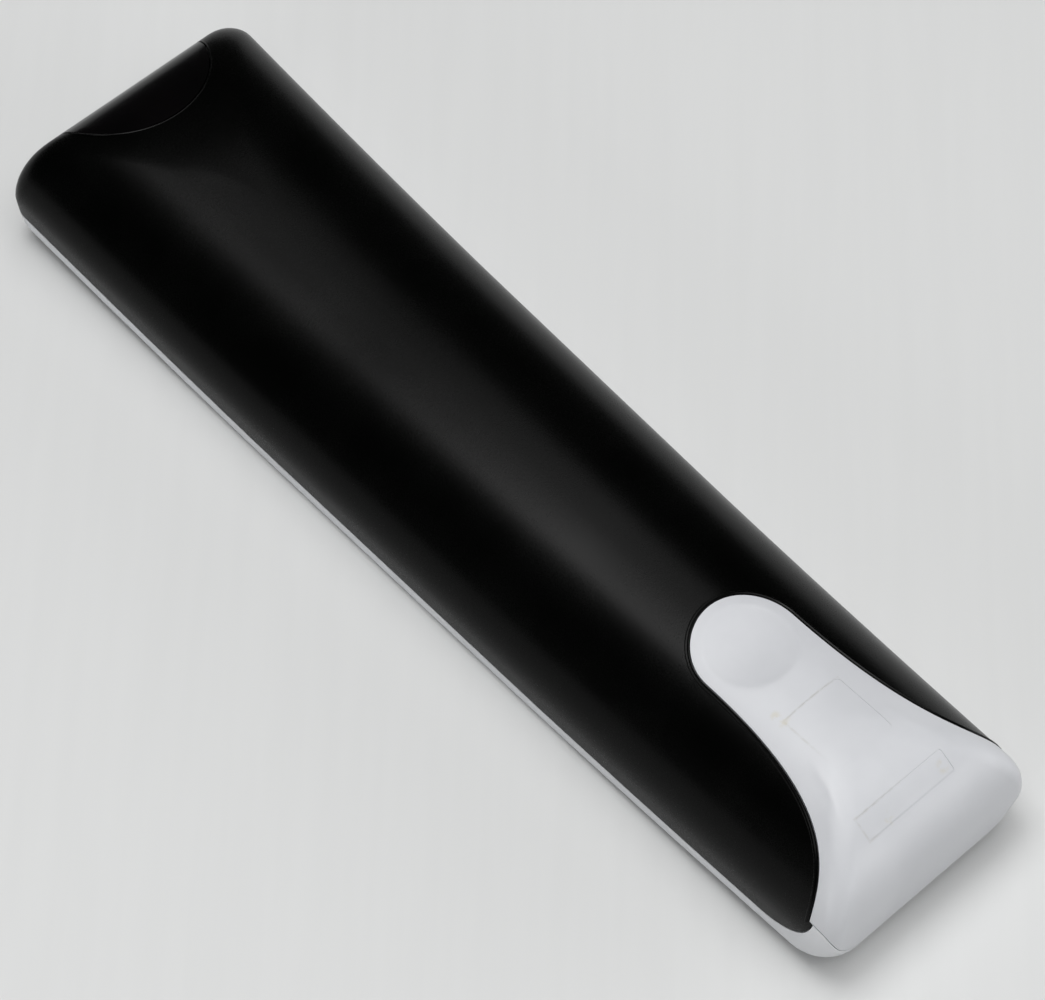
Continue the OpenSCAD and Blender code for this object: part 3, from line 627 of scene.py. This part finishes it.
def pill_line(length, width, d):
    reach = (length - width) / 2
    r = width / 2 + d
    return arc_line(reach, 0, r, -90, 90, 16) + arc_line(-reach, 0, r, 90, 270, 16)


def arrow_line(d):
    """A quarter of a ring between two axes, with round corners."""
    big, small = ARROW_OUT - ARROW_ROUND, ARROW_IN + ARROW_ROUND
    gap, r = ARROW_GAP / 2 + ARROW_ROUND, ARROW_ROUND + d
    a, b = (math.degrees(math.asin(gap / reach)) for reach in (big, small))
    far, near = math.sqrt(big ** 2 - gap ** 2), math.sqrt(small ** 2 - gap ** 2)
    outside = arc_line(0, 0, big + r, a, 90 - a, 12)[1:-1]
    inside = arc_line(0, 0, small - r, 90 - b, b, 8)[1:-1]
    return (arc_line(far, gap, r, -90, a, 5) + outside + arc_line(gap, far, r, 90 - a, 180, 5)
            + arc_line(gap, near, r, 180, 270 - b, 5) + inside
            + arc_line(near, gap, r, 180 + b, 270, 5))


def key_form(kind, first, second, d):
    """Outline of a key about its own middle, grown by d."""
    if kind == "round":
        return circle_line(0, 0, first + d)
    if kind == "arrow":
        return turn(arrow_line(d), first - 45)
    return turn(pill_line(first, second, d), 90 if kind == "rocker" else 0)


def key_line(key, d):
    return [(key.x + a, key.y + b) for a, b in key_form(key.kind, key.first, key.second, d)]


def key_stems(key):
    """Places of the stems that press a key's contacts on the board."""
    if key.kind == "rocker":
        return [(key.x, key.y + side * key.first / 3) for side in (-1, 1)]
    if key.kind == "arrow":
        return [(key.x + a, key.y + b) for a, b in turn([(ARROW_MID, 0)], key.first)]
    return [(key.x, key.y)]


def make_cap(kind, first, second):
    """A key's cap with a rounded tip, and the flange that holds it behind the panel."""
    steps = []
    for a in stations(0, math.pi / 2, 5):
        steps.append((-CAP_ROUND * (1 - math.sin(a)), KEY_CLEAR + CAP_ROUND * (1 - math.cos(a))))
    if kind == "rocker":
        steps.append((0, FLANGE_Z + FLANGE_T))
    else:
        steps += [(0, FLANGE_Z), (FLANGE_W, FLANGE_Z), (FLANGE_W, FLANGE_Z + FLANGE_T)]
    cap = stack("cap", [[(x, y, z) for x, y in key_form(kind, first, second, d)] for d, z in steps])
    if kind == "rocker":
        half = ROCKER_W / 2 + FLANGE_W
        cut(cap, block("flange", (-half, -ROCKER_FLANGE / 2, FLANGE_Z),
                       (half, ROCKER_FLANGE / 2, FLANGE_Z + FLANGE_T)), "UNION")
    return cap


def copy_of(piece, name, move):
    """A copy with a mesh of its own, moved in millimetres, its place kept in its mesh."""
    work_on(piece)
    bpy.ops.object.duplicate(linked=False)
    made = bpy.context.object
    made.name = name
    bpy.ops.transform.translate(value=Vector(move) * MM)
    bpy.ops.object.transform_apply(location=True, rotation=False, scale=False)
    return made


def make_keys():
    """One cap for each form, copied to its places; every key then gets its own stems."""
    caps, keys = {}, {}
    for key in KEYS:
        form = (key.kind, key.first, key.second)
        if form not in caps:
            caps[form] = make_cap(*form)
        stems = key_stems(key)
        lift = arch(stems[0][1])
        piece = copy_of(caps[form], key.name + "_cap", (key.x, key.y, lift))
        for x, y in stems:
            line = circle_line(x, y, STEM_R, 24)
            cut(piece, prism("stem", line, FLANGE_Z + lift, STEM_TOP, upright), "UNION")
        keys[key.name] = smooth(piece, 30)
    for cap in caps.values():
        bpy.data.objects.remove(cap)
    return keys


# Signs on the keys: flat outlines about a key's middle, as they are read from the face

def stroke(points, width=SIGN_W):
    """Outline of a line of even width through some points."""
    left, right = [], []
    places = [Vector(point) for point in points]
    for i, here in enumerate(places):
        come = (here - places[i - 1] if i else places[1] - here).normalized()
        leave = (places[i + 1] - here).normalized() if i + 1 < len(places) else come
        side = (come + leave).normalized().orthogonal()
        side *= width / 2 / side.dot(leave.orthogonal())
        left.append(tuple(here + side))
        right.append(tuple(here - side))
    return left + right[::-1]


def bar(x0, y0, x1, y1):
    return stroke([(x0, y0), (x1, y1)])


def triangle(x, y, r, degrees):
    corners = turn([(r, 0), (-r / 2, 0.87 * r), (-r / 2, -0.87 * r)], degrees)
    return [(x + a, y + b) for a, b in corners]


def square(x, y, half):
    return rounded_box(x - half, y - half, x + half, y + half, 0.12, 3)


def open_box(x, y):
    """Four bars about the middle."""
    end = x + SIGN_W / 2
    return [bar(-end, y, end, y), bar(-end, -y, end, -y), bar(-x, -y, -x, y), bar(x, -y, x, y)]


def open_ring(r):
    return [stroke(arc_line(0, 0, r, 0, 185, 20)), stroke(arc_line(0, 0, r, 180, 365, 20))]


def sign_lines():
    return {
        "power": [stroke(arc_line(0, 0, 1.8, 125, 415, 28)), bar(0, 0.3, 0, 2.3)],
        "source": [stroke([(-0.4, 1.3), (1.9, 1.3), (1.9, -1.3), (-0.4, -1.3)]), bar(-2, 0, 0.2, 0),
                   triangle(0.3, 0, 0.8, 0)],
        "tv": open_box(1.6, 0.9) + [bar(-0.8, -1.5, 0.8, -1.5)],
        "disc": open_ring(1.25) + [circle_line(0, 0, 0.4, 20)],
        "box": open_box(1.8, 0.7) + [circle_line(1.1, 0, 0.25, 16), bar(-1.2, 0, 0.2, 0)],
        "audio": [bar(-1.2, -1.1, -1.2, 0), bar(-0.4, -1.1, -0.4, 1.2), bar(0.4, -1.1, 0.4, 0.5),
                  bar(1.2, -1.1, 1.2, 0.9)],
        "rewind": [triangle(-0.9, 0, 1.0, 180), triangle(0.8, 0, 1.0, 180)],
        "play": [triangle(-0.1, 0, 1.5, 0)],
        "forward": [triangle(-0.8, 0, 1.0, 0), triangle(0.9, 0, 1.0, 0)],
        "record": [circle_line(0, 0, 1.25, 32)],
        "stop": [square(0, 0, 1.15)],
        "pause": [stroke([(-0.7, -1.3), (-0.7, 1.3)], 0.7), stroke([(0.7, -1.3), (0.7, 1.3)], 0.7)],
        "menu": [bar(-1.2, 0.9, 1.2, 0.9), bar(-1.2, 0, 1.2, 0), bar(-1.2, -0.9, 1.2, -0.9)],
        "guide": [square(-0.75, 0.75, 0.5), square(0.75, 0.75, 0.5), square(-0.75, -0.75, 0.5),
                  square(0.75, -0.75, 0.5)],
        "back": [stroke([(1.2, -1.0), (1.2, 0.5), (-0.6, 0.5)]), triangle(-0.7, 0.5, 0.8, 180)],
        "exit": [bar(-1, -1, 1, 1), bar(-1, 1, 1, -1)],
        "ok": open_ring(2.2) + [circle_line(0, 0, 0.8, 28)],
        "left": [triangle(0, 0, 1.3, 180)],
        "up": [triangle(0, 0, 1.3, 90)],
        "right": [triangle(0, 0, 1.3, 0)],
        "down": [triangle(0, 0, 1.3, 270)],
        "volume": [bar(-1.3, 8, 1.3, 8), bar(0, 6.7, 0, 9.3), bar(-1.3, -8, 1.3, -8)],
        "channel": [triangle(0, 7.8, 1.4, 90), triangle(0, -7.8, 1.4, 270)],
        "mute": [[(-1.9, -0.5), (-1.1, -0.5), (0, -1.4), (0, 1.4), (-1.1, 0.5), (-1.9, 0.5)],
                 bar(0.6, -0.6, 1.8, 0.6), bar(0.6, 0.6, 1.8, -0.6)],
        "info": [circle_line(0, 1.5, 0.38, 20), stroke([(0, -1.6), (0, 0.7)], 0.6)],
        "clear": [stroke([(1.8, 1.1), (-0.8, 1.1), (-1.9, 0), (-0.8, -1.1), (1.8, -1.1),
                          (1.8, 1.32)]),
                  bar(-0.2, -0.5, 0.8, 0.5), bar(-0.2, 0.5, 0.8, -0.5)],
        "enter": [stroke([(1.5, 1.2), (1.5, -0.4), (-0.8, -0.4)]), triangle(-0.9, -0.4, 0.9, 180)],
    }


def make_sign(key, outlines):
    """The raised print of one key, rooted in its cap."""
    stem = key_stems(key)[0]
    x, y = stem if key.kind == "arrow" else (key.x, key.y)
    low = KEY_CLEAR + arch(stem[1]) - SIGN_T

    def lay(a, b, z):
        return x - a, y + b, z

    pieces = [prism("sign", line, low, low + SIGN_T + SIGN_ROOT, lay) for line in outlines]
    for other in pieces[1:]:
        cut(pieces[0], other, "UNION")
    return pieces[0]


def make_digit(key):
    """A digit as plain raised print, read from the face."""
    pick_nothing()
    place_mm = Vector((key.x, key.y, KEY_CLEAR + arch(key.y)))
    bpy.ops.object.text_add(location=place_mm * MM, rotation=(0, math.pi, 0))
    digit = bpy.context.object
    digit.data.body = key.name[-1]
    digit.data.size, digit.data.extrude = DIGIT_H * MM, SIGN_T * MM
    digit.data.align_x, digit.data.align_y = "CENTER", "CENTER"
    bpy.ops.object.convert(target="MESH")
    bpy.ops.object.transform_apply(location=True, rotation=True, scale=True)
    edit(digit, lambda: bpy.ops.mesh.remove_doubles(threshold=1e-7),
         lambda: bpy.ops.mesh.normals_make_consistent(inside=False))
    return digit


def make_signs():
    lines, signs = sign_lines(), {}
    for key in KEYS:
        word = key.name[len("key_"):]
        sign = make_digit(key) if word.isdigit() else make_sign(key, lines[word])
        sign.name = "sign_" + word
        signs[key.name] = sign
    return signs


# Batteries and their contacts

def turned(name, profile, x, sides):
    """A piece turned about a cell's axis from a profile of radius and place along the body."""
    rings = [[(x + a, y, CELL_Z + b) for a, b in circle_line(0, 0, r, sides)] for r, y in profile]
    return stack(name, rings)


def make_cell(name, x, plus, way):
    """A dry cell with crimped ends; way is the direction in which its button points."""
    r, button, shoulder = CELL_D / 2, BUTTON_D / 2, CELL_L - BUTTON_L
    wrap_r, crimp = r - WRAP_IN, shoulder - 0.3
    base = [(r - 1.3, 0.35), (r - 1.0, 0.05), (r - 0.6, 0.0), (r - 0.2, 0.15), (r, 0.6)]
    wrap = [(r, 1.6), (wrap_r, 1.75), (wrap_r, shoulder - 1.0), (r, shoulder - 0.85)]
    top = [(r - 0.15, crimp), (r - 0.5, shoulder), (r - 0.95, shoulder), (r - 1.15, crimp)]
    tip = [(button + 0.25, crimp), (button, shoulder), (button, CELL_L - 0.3),
           (button - 0.3, CELL_L)]
    profile = [(reach, plus - way * (CELL_L - run)) for reach, run in base + wrap + top + tip]
    return smooth(turned(name, profile, x, 64), 40)


def make_plate(x, y, width):
    """A plate that stands on the tray, with round upper corners."""
    z0, half, r = TRAY_TOP + CELL_GAP, width / 2, PLATE_ROUND
    line = [(x - half, z0), (x + half, z0)]
    line += arc_line(x + half - r, z0 + PLATE_H - r, r, 0, 90, 6)
    line += arc_line(x - half + r, z0 + PLATE_H - r, r, 90, 180, 6)
    return prism("plate", line, y, y + CONTACT_T, lengthwise)


def make_button(x, low, high):
    """A turned contact bump that reaches from its plate towards the cell."""
    bump = ((0.55, 0.0), (0.8, 0.08), (0.94, 0.2), (1.0, 0.4), (1.0, 1.0))
    profile = [(BUTTON_D / 2 * reach, low + (high - low) * share) for reach, share in bump]
    return turned("button", profile, x, 32)


def make_coil(x, y, length):
    """A cone-shaped coil spring that reaches from its plate towards the cell."""
    middles, normals = [], []
    for t in stations(0, 1, COIL_TURNS * 24):
        a = 2 * math.pi * COIL_TURNS * t
        r = COIL_FOOT_R + (COIL_TIP_R - COIL_FOOT_R) * t
        out = Vector((math.cos(a), 0, math.sin(a)))
        here = Vector((x, y - SPRING_WIRE / 2 - (length - SPRING_WIRE) * t, CELL_Z))
        middles.append(here + r * out)
        normals.append(out)
    return tube("coil", middles, normals, SPRING_WIRE / 2, 12)


def make_contacts():
    x = CELL_PITCH / 2
    positive = make_plate(x, PLATE_IR_Y, PLATE_W)
    cut(positive, make_button(x, CELL_Y1 + CELL_GAP, PLATE_IR_Y + CONTACT_T / 2), "UNION")
    coil = make_coil(-x, PLATE_IR_Y - INNER_GAP, PLATE_IR_Y - CELL_Y1 - 2 * INNER_GAP)
    negative = join("negative", [make_plate(-x, PLATE_IR_Y, PLATE_W), coil])
    bridge = make_plate(0, PLATE_END_Y, CELL_PITCH + PLATE_W)
    return {"contact_positive": positive, "contact_negative": negative,
            "contact_bridge": bridge}


# Materials

class Field:
    """A socket of a material's nodes, with the sums that patterns need."""

    def __init__(self, tree, socket):
        self.tree, self.socket = tree, socket

    def node(self, kind, settings=None, out=0, sockets=None):
        """Adds a node: its settings first, then the values or links of its sockets."""
        made = self.tree.nodes.new(kind)
        for key, value in (settings or {}).items():
            setattr(made, key, value)
        for key, value in (sockets or {}).items():
            if isinstance(value, Field):
                self.tree.links.new(value.socket, made.inputs[key])
            else:
                made.inputs[key].default_value = value
        return Field(self.tree, made.outputs[out])

    def maths(self, how, *others):
        """A Math node on this value and others."""
        return self.node("ShaderNodeMath", {"operation": how}, 0, dict(enumerate((self, *others))))

    def __add__(self, other):
        return self.maths("ADD", other)

    __radd__ = __add__

    def __mul__(self, other):
        return self.maths("MULTIPLY", other)

    __rmul__ = __mul__

    def __sub__(self, other):
        return self.maths("SUBTRACT", other)

    def __rsub__(self, other):
        return self.maths("MULTIPLY_ADD", -1.0, other)

    def __truediv__(self, other):
        return self.maths("DIVIDE", other)

    def __abs__(self):
        return self.maths("ABSOLUTE")

    def soft(self, low, high, to_low=0.0, to_high=1.0):
        """A smooth step between two values, for this one going from low to high."""
        return self.node("ShaderNodeMapRange", {"interpolation_type": "SMOOTHSTEP"}, 0,
                         {0: self, 1: low, 2: high, 3: to_low, 4: to_high})

    def noise(self, scale, detail=2.0, roughness=0.5):
        return self.node("ShaderNodeTexNoise", None, 0,
                         {"Vector": self, "Scale": scale, "Detail": detail, "Roughness": roughness})

    def stretched(self, scale, angle=0.0):
        """The same place, drawn out along its axes."""
        return self.node("ShaderNodeMapping", {"vector_type": "TEXTURE"}, 0,
                         {"Vector": self, "Rotation": (0, 0, math.radians(angle)), "Scale": scale})

    def spots(self, scale):
        return self.node("ShaderNodeTexVoronoi", None, 0, {"Vector": self, "Scale": scale})

    def lines(self, pitch, width):
        """Even lines across this axis, in metres."""
        away = (self / pitch).maths("PINGPONG", 0.5)
        return away.soft(width / pitch / 2, width / pitch, 1, 0)

    def paint(self, first, second):
        """A colour between two colours, by this mask."""
        return self.node("ShaderNodeMix", {"data_type": "RGBA"}, 2, {0: self, 6: first, 7: second})


class Finish:
    """A material on the piece's own coordinates, in metres."""

    def __init__(self, name, **constants):
        self.material = bpy.data.materials.new(name)
        self.material.use_nodes = True
        self.tree = self.material.node_tree
        self.shader = self.tree.nodes["Principled BSDF"]
        coords = self.tree.nodes.new("ShaderNodeTexCoord")
        self.place = Field(self.tree, coords.outputs["Object"])
        split = self.tree.nodes.new("ShaderNodeSeparateXYZ")
        self.tree.links.new(coords.outputs["Object"], split.inputs[0])
        self.x, self.y = (Field(self.tree, split.outputs[axis]) for axis in "XY")
        for key, value in constants.items():
            self.shader.inputs[key.replace("_", " ")].default_value = value

    def feed(self, **sockets):
        for key, value in sockets.items():
            self.tree.links.new(value.socket, self.shader.inputs[key.replace("_", " ")])
        return self

    def bump(self, height, depth, strength=1.0):
        normal = self.place.node("ShaderNodeBump", None, 0,
                                 {"Strength": strength, "Distance": depth, "Height": height})
        self.tree.links.new(normal.socket, self.shader.inputs["Normal"])
        return self

    def out_from(self, x, y):
        """Distance from an upright axis."""
        a, b = self.x - x * MM, self.y - y * MM
        return (a * a + b * b).maths("SQRT")


def tone(red, green, blue):
    return (red, green, blue, 1)


def moulded(name, rough, grain_size, grain_depth, **constants):
    """A moulded surface: slow clouds of gloss under a fine grain. Its colour is fed apart."""
    f = Finish(name, **constants)
    grain = f.place.noise(grain_size, 2.0, 0.6)
    f.cloud = f.place.noise(80, 3.0)
    f.feed(Roughness=f.cloud.soft(0.25, 0.75, *rough) + grain.soft(0.3, 0.7, -0.02, 0.02))
    return f.bump(grain, grain_depth, 0.5)


def plastic(name, dark, light, rough, grain_size, grain_depth, **constants):
    """A plain moulded plastic, with clouds between two tones."""
    f = moulded(name, rough, grain_size, grain_depth, **constants)
    return f.feed(Base_Color=f.cloud.soft(0.3, 0.7).paint(tone(*dark), tone(*light))).material


def satin_black():
    return plastic("satin_black_plastic", (0.0002, 0.0003, 0.0002), (0.0005, 0.0006, 0.0005),
                   (0.25, 0.28), 3800, 0.02 * MM, Specular_IOR_Level=0.098)


def window_black():
    return plastic("window_black_plastic", (0.0004, 0.0003, 0.0004), (0.0008, 0.0005, 0.0007),
                   (0.19, 0.22), 1500, 0.004 * MM, Specular_IOR_Level=0.25)


def pale_shell():
    return plastic("pale_plastic", (0.65, 0.66, 0.68), (0.69, 0.70, 0.72),
                   (0.42, 0.48), 3000, 0.01 * MM)


def pale_cover():
    """The cover's plastic, with dust and painted shade along the fields' edges and a few handled
    smudges.
    """
    f = moulded("pale_cover_plastic", (0.36, 0.40), 3000, 0.01 * MM)
    shade = f.cloud.soft(0.3, 0.7).paint(tone(0.565, 0.575, 0.60), tone(0.60, 0.61, 0.635))
    # Noise that breaks up the dust and painted shade along the fields' edges, and the smudges
    dirt_and_shade_noise = f.place.noise(700, 2.0).soft(0.42, 0.62)
    for x, y0, y1, _ in LABEL_FIELDS:
        along_field = f.y - (y0 + y1) / 2 * MM
        side = abs(f.x) - x * MM
        end = abs(along_field) - (y1 - y0) / 2 * MM
        # A dark line along each field's edge: partly dust, partly painted shade that is stronger on
        # the side away from the light
        edge = abs(side.maths("MAXIMUM", end)).soft(0.05 * MM, 0.35 * MM, 1, 0)
        painted_shade_side = (along_field - f.x * 0.6).soft(-1 * MM, 6 * MM, 0, 0.2)
        shade = (edge * (0.4 + dirt_and_shade_noise) * painted_shade_side).paint(shade, tone(0.36, 0.34, 0.29))
    for x, y, r in SMUDGES:
        worn = f.out_from(x, y).soft(0.2 * r * MM, r * MM, 1, 0) * dirt_and_shade_noise
        shade = (worn * 0.45).paint(shade, tone(0.52, 0.48, 0.36))
    return f.feed(Base_Color=shade).material


def key_satin():
    return plastic("key_satin", (0.030, 0.031, 0.033), (0.040, 0.041, 0.044),
                   (0.42, 0.50), 2600, 0.02 * MM)


def power_red():
    return plastic("power_red", (0.36, 0.015, 0.012), (0.44, 0.022, 0.018),
                   (0.38, 0.46), 2600, 0.02 * MM)


def sign_print():
    """White print, a little worn through."""
    f = moulded("sign_print", (0.5, 0.6), 2200, 0.01 * MM)
    worn = f.place.noise(1400, 3.0, 0.6).soft(0.66, 0.74) * 0.5
    return f.feed(Base_Color=worn.paint(tone(0.70, 0.71, 0.72), tone(0.25, 0.25, 0.26))).material


def mat_rubber():
    return plastic("mat_rubber", (0.10, 0.11, 0.12), (0.14, 0.155, 0.17),
                   (0.68, 0.78), 1800, 0.04 * MM)


def board_mask():
    """Green mask over copper lines, with tinned holes."""
    f = Finish("board_mask")
    zone = f.place.noise(55, 0.0).soft(0.49, 0.51)
    pitch, width = 1.6 * MM, 0.5 * MM
    track = f.x.lines(pitch, width) * zone + f.y.lines(pitch, width) * (1 - zone)
    hole = f.place.spots(210).soft(0.12, 0.16, 1, 0)
    mask = track.paint(tone(0.012, 0.085, 0.035), tone(0.03, 0.17, 0.07))
    f.feed(Base_Color=hole.paint(mask, tone(0.62, 0.62, 0.60)), Metallic=hole,
           Roughness=f.place.noise(900).soft(0.3, 0.7, 0.26, 0.36))
    return f.bump(track + hole, 0.04 * MM).material


def plated_steel():
    """Bright plated sheet with fine upright scratches."""
    f = Finish("plated_steel")
    scratch = f.place.stretched((1, 1, 14)).noise(2400, 3.0, 0.6)
    cloud = f.place.noise(160, 2.0)
    f.feed(Base_Color=cloud.soft(0.3, 0.7).paint(tone(0.56, 0.56, 0.55), tone(0.68, 0.68, 0.67)),
           Metallic=cloud.soft(0.0, 0.2, 0.9, 1.0), Roughness=scratch.soft(0.3, 0.7, 0.20, 0.34))
    return f.bump(scratch, 0.008 * MM, 0.5).material


def clear_red():
    """The indicator's lens, with fine rings moulded into it and a painted glow, lighter in its
    middle.
    """
    f = Finish("clear_red_lens", Coat_Roughness=0.05)
    out = f.out_from(0, POWER_Y)
    rings = (out * 9000).maths("SINE")
    # Painted glow: the lens's colour is lighter in its middle and darker at its rim
    glow = out.soft(0, LENS_R * MM).paint(tone(0.42, 0.02, 0.016), tone(0.20, 0.006, 0.006))
    f.feed(Base_Color=glow, Roughness=rings.soft(-1, 1, 0.08, 0.16),
           Coat_Weight=rings.soft(-1, 1, 0.5, 0.7))
    return f.bump(rings, 0.03 * MM, 0.6).material


def diode_tint():
    """Tinted clear resin with faint flow lines."""
    f = Finish("diode_tint", Transmission_Weight=0.5, IOR=1.5)
    flow = f.place.stretched((1, 5, 1)).noise(600, 2.0)
    f.feed(Base_Color=flow.soft(0.3, 0.7).paint(tone(0.30, 0.28, 0.46), tone(0.40, 0.38, 0.56)),
           Roughness=flow.soft(0.3, 0.7, 0.05, 0.12))
    return f.material


def chip_mould():
    """Dark moulding with a pale dot by its first pin."""
    x, y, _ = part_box("microcontroller")[0]
    f = moulded("chip_mould", (0.6, 0.72), 4200, 0.02 * MM)
    speck = f.place.noise(3600, 1.0).soft(0.4, 0.7)
    dot = f.out_from(x / MM + 1.3, y / MM + 1.3).soft(0.35 * MM, 0.45 * MM, 1, 0)
    shade = speck.paint(tone(0.016, 0.016, 0.017), tone(0.028, 0.028, 0.029))
    return f.feed(Base_Color=dot.paint(shade, tone(0.20, 0.20, 0.20))).material


def dipped_amber():
    return plastic("dipped_amber", (0.42, 0.17, 0.025), (0.55, 0.25, 0.04),
                   (0.22, 0.34), 700, 0.08 * MM)


def capacitor_sleeve():
    """A dark sleeve with a pale stripe down one side."""
    low_x, high_x = (corner[0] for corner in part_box("capacitor"))
    f = moulded("capacitor_sleeve", (0.3, 0.4), 1500, 0.01 * MM)
    stripe = (f.x - (low_x + 0.8 * (high_x - low_x))).soft(0, 0.1 * MM)
    cloud = f.place.noise(300, 2.0).soft(0.3, 0.7)
    shade = cloud.paint(tone(0.012, 0.022, 0.085), tone(0.018, 0.03, 0.11))
    return f.feed(Base_Color=stripe.paint(shade, tone(0.55, 0.57, 0.62))).material


def cell_wrap(name, plus, way):
    """A printed wrap with a pale band by the button, and bare metal at both ends."""
    f = Finish(name, Coat_Roughness=0.1)
    run = (f.y - plus * MM) * way / MM + CELL_L

    def between(low, high, edge=0.1):
        return run.soft(low, low + edge) * run.soft(high - edge, high, 1, 0)

    cloud = f.place.noise(120, 2.0).soft(0.3, 0.7)
    scuff = f.place.stretched((1, 8, 1)).noise(900, 3.0, 0.6).soft(0.62, 0.72)
    wrapped = between(1.5, CELL_L - BUTTON_L - 0.85)
    bands = between(33.0, 36.5) + between(31.6, 32.3)
    ink = cloud.paint(tone(0.020, 0.105, 0.115), tone(0.026, 0.13, 0.14))
    ink = bands.paint(ink, tone(0.60, 0.62, 0.60))
    ink = (scuff * 0.3).paint(ink, tone(0.45, 0.46, 0.46))
    f.feed(Base_Color=wrapped.paint(tone(0.63, 0.63, 0.62), ink), Metallic=1 - wrapped,
           Roughness=cloud.soft(0, 1, 0.26, 0.34) + scuff * 0.15, Coat_Weight=wrapped * 0.4)
    return f.bump(scuff, 0.01 * MM, 0.5).material


def dress(piece, material, slot, body_name, *nodes):
    """Gives a piece its finish and its body, and hides the nodes of the frame that it stands for.
    """
    piece.data.materials.clear()
    piece.data.materials.append(material)
    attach(piece, body_name)
    if nodes:
        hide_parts(*nodes)


def finish_node(name, material):
    """A better finish for a solid of the frame that keeps its own shape."""
    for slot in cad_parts[name].material_slots:
        slot.material = material


steel, print_white = plated_steel(), sign_print()
dress(make_back_shell(), satin_black(), "black_plastic", "casing", "back_shell")
dress(make_front_shell(), pale_shell(), "pale_plastic", "casing", "front_shell")
dress(make_ir_window(), window_black(), "window_plastic", "casing", "ir_window")
dress(make_battery_cover(), pale_cover(), "pale_plastic", "cover", "battery_cover")
satin, red = key_satin(), power_red()
for name, piece in make_keys().items():
    if name == "key_power":
        dress(piece, red, "power_plastic", name, name)
    else:
        dress(piece, satin, "key_plastic", name, name)
for name, piece in make_signs().items():
    dress(piece, print_white, "pale_plastic", name)
for name, piece in make_contacts().items():
    piece.name = name + "_plate"
    dress(smooth(piece), steel, "steel", "casing", name)
for side, plus, way in (("left", CELL_Y1, 1), ("right", CELL_Y0, -1)):
    dress(make_cell("cell_" + side, way * CELL_PITCH / 2, plus, way),
          cell_wrap("cell_wrap_" + side, plus, way), "cell", "casing", "battery_" + side)
finish_node("board_screws", steel)
finish_node("key_mat", mat_rubber())
finish_node("circuit_board", board_mask())
finish_node("indicator_lens", clear_red())
finish_node("ir_diodes", diode_tint())
finish_node("microcontroller", chip_mould())
finish_node("resonator", dipped_amber())
finish_node("capacitor", capacitor_sleeve())


# Floor, light and camera, in metres

FLOOR_SIZE = 6
# The lamps look at a place inside the body; the level ones hang over it
LOOK_AT, HANG_Z = Vector((0, 0, 0.02)), 1.35
# Where the camera stands, and the picture that its lens is reckoned for
CAMERA_TURNS = (-44.25, 58.41, 2.33)
CAMERA_TARGET = Vector((3.19, -1.79, 0)) * MM
CAMERA_DISTANCE, FOCAL_PX = 0.7, 3773
PICTURE_W, SENSOR_W = 1045, 36


def make_floor():
    pick_nothing()
    bpy.ops.mesh.primitive_plane_add(size=FLOOR_SIZE)
    floor = bpy.context.object
    floor.name = "floor"
    f = Finish("pale_floor", Roughness=0.55)
    streak = f.place.stretched((1, 16, 1), -44).noise(260, 2.0).soft(0.2, 0.8)
    f.feed(Base_Color=streak.paint(tone(0.656, 0.662, 0.660), tone(0.668, 0.674, 0.672)))
    floor.data.materials.append(f.material)


def add_lamp(name, size, glow):
    """A flat lamp; glow is how bright its face is."""
    pick_nothing()
    bpy.ops.object.light_add(type="AREA")
    lamp = bpy.context.object
    lamp.name = name
    lamp.data.shape = "RECTANGLE"
    lamp.data.size, lamp.data.size_y = size
    lamp.data.energy = glow * math.pi * size[0] * size[1]
    return lamp


def hang_lamp(name, over, size, glow, angle=0.0):
    """A level lamp that hangs over the object and looks straight down."""
    lamp = add_lamp(name, size, glow)
    lamp.location = (*over, HANG_Z)
    lamp.rotation_euler = (0, 0, math.radians(angle))


def stand_lamp(name, towards, distance, size, glow):
    """A lamp that stands off in a direction and looks at the object."""
    lamp = add_lamp(name, size, glow)
    lamp.location = LOOK_AT + Vector(towards).normalized() * distance
    lamp.rotation_euler = (LOOK_AT - lamp.location).to_track_quat("-Z", "Y").to_euler()


def make_world():
    world = bpy.data.worlds.new("studio")
    world.use_nodes = True
    sky = world.node_tree.nodes["Background"]
    sky.inputs["Color"].default_value = tone(1, 1, 1)
    sky.inputs["Strength"].default_value = 0.03
    bpy.context.scene.world = world


def make_camera():
    az, el, roll = (math.radians(a) for a in CAMERA_TURNS)
    back = Vector((math.sin(az) * math.cos(el), -math.cos(az) * math.cos(el), math.sin(el)))
    level = Vector((math.cos(az), math.sin(az), 0))
    upward = back.cross(level)
    right = level * math.cos(roll) + upward * math.sin(roll)
    up = upward * math.cos(roll) - level * math.sin(roll)
    pick_nothing()
    bpy.ops.object.camera_add(location=CAMERA_TARGET + back * CAMERA_DISTANCE)
    camera = bpy.context.object
    camera.rotation_euler = Matrix((right, up, back)).transposed().to_euler()
    camera.data.sensor_width = SENSOR_W
    camera.data.sensor_fit = "HORIZONTAL"
    camera.data.lens = FOCAL_PX * SENSOR_W / PICTURE_W
    camera.data.clip_start = 0.01
    bpy.context.scene.camera = camera


make_floor()
hang_lamp("top_lamp", (-0.17, 0.30), (0.60, 0.52), 8.0, -16)
hang_lamp("side_lamp", (0.52, 0.40), (0.82, 0.60), 2.3)
stand_lamp("front_lamp", (0.60, -0.75, 0.25), 1.5, (2.0, 0.6), 2.5)
stand_lamp("roof_lamp", (-0.06, -0.20, 0.95), 1.5, (1.6, 1.0), 2.22)
stand_lamp("left_lamp", (-0.93, -0.12, 0.25), 1.4, (0.6, 0.55), 3.636)
make_world()
bpy.context.scene.view_settings.view_transform = "Standard"
make_camera()

pick_nothing()
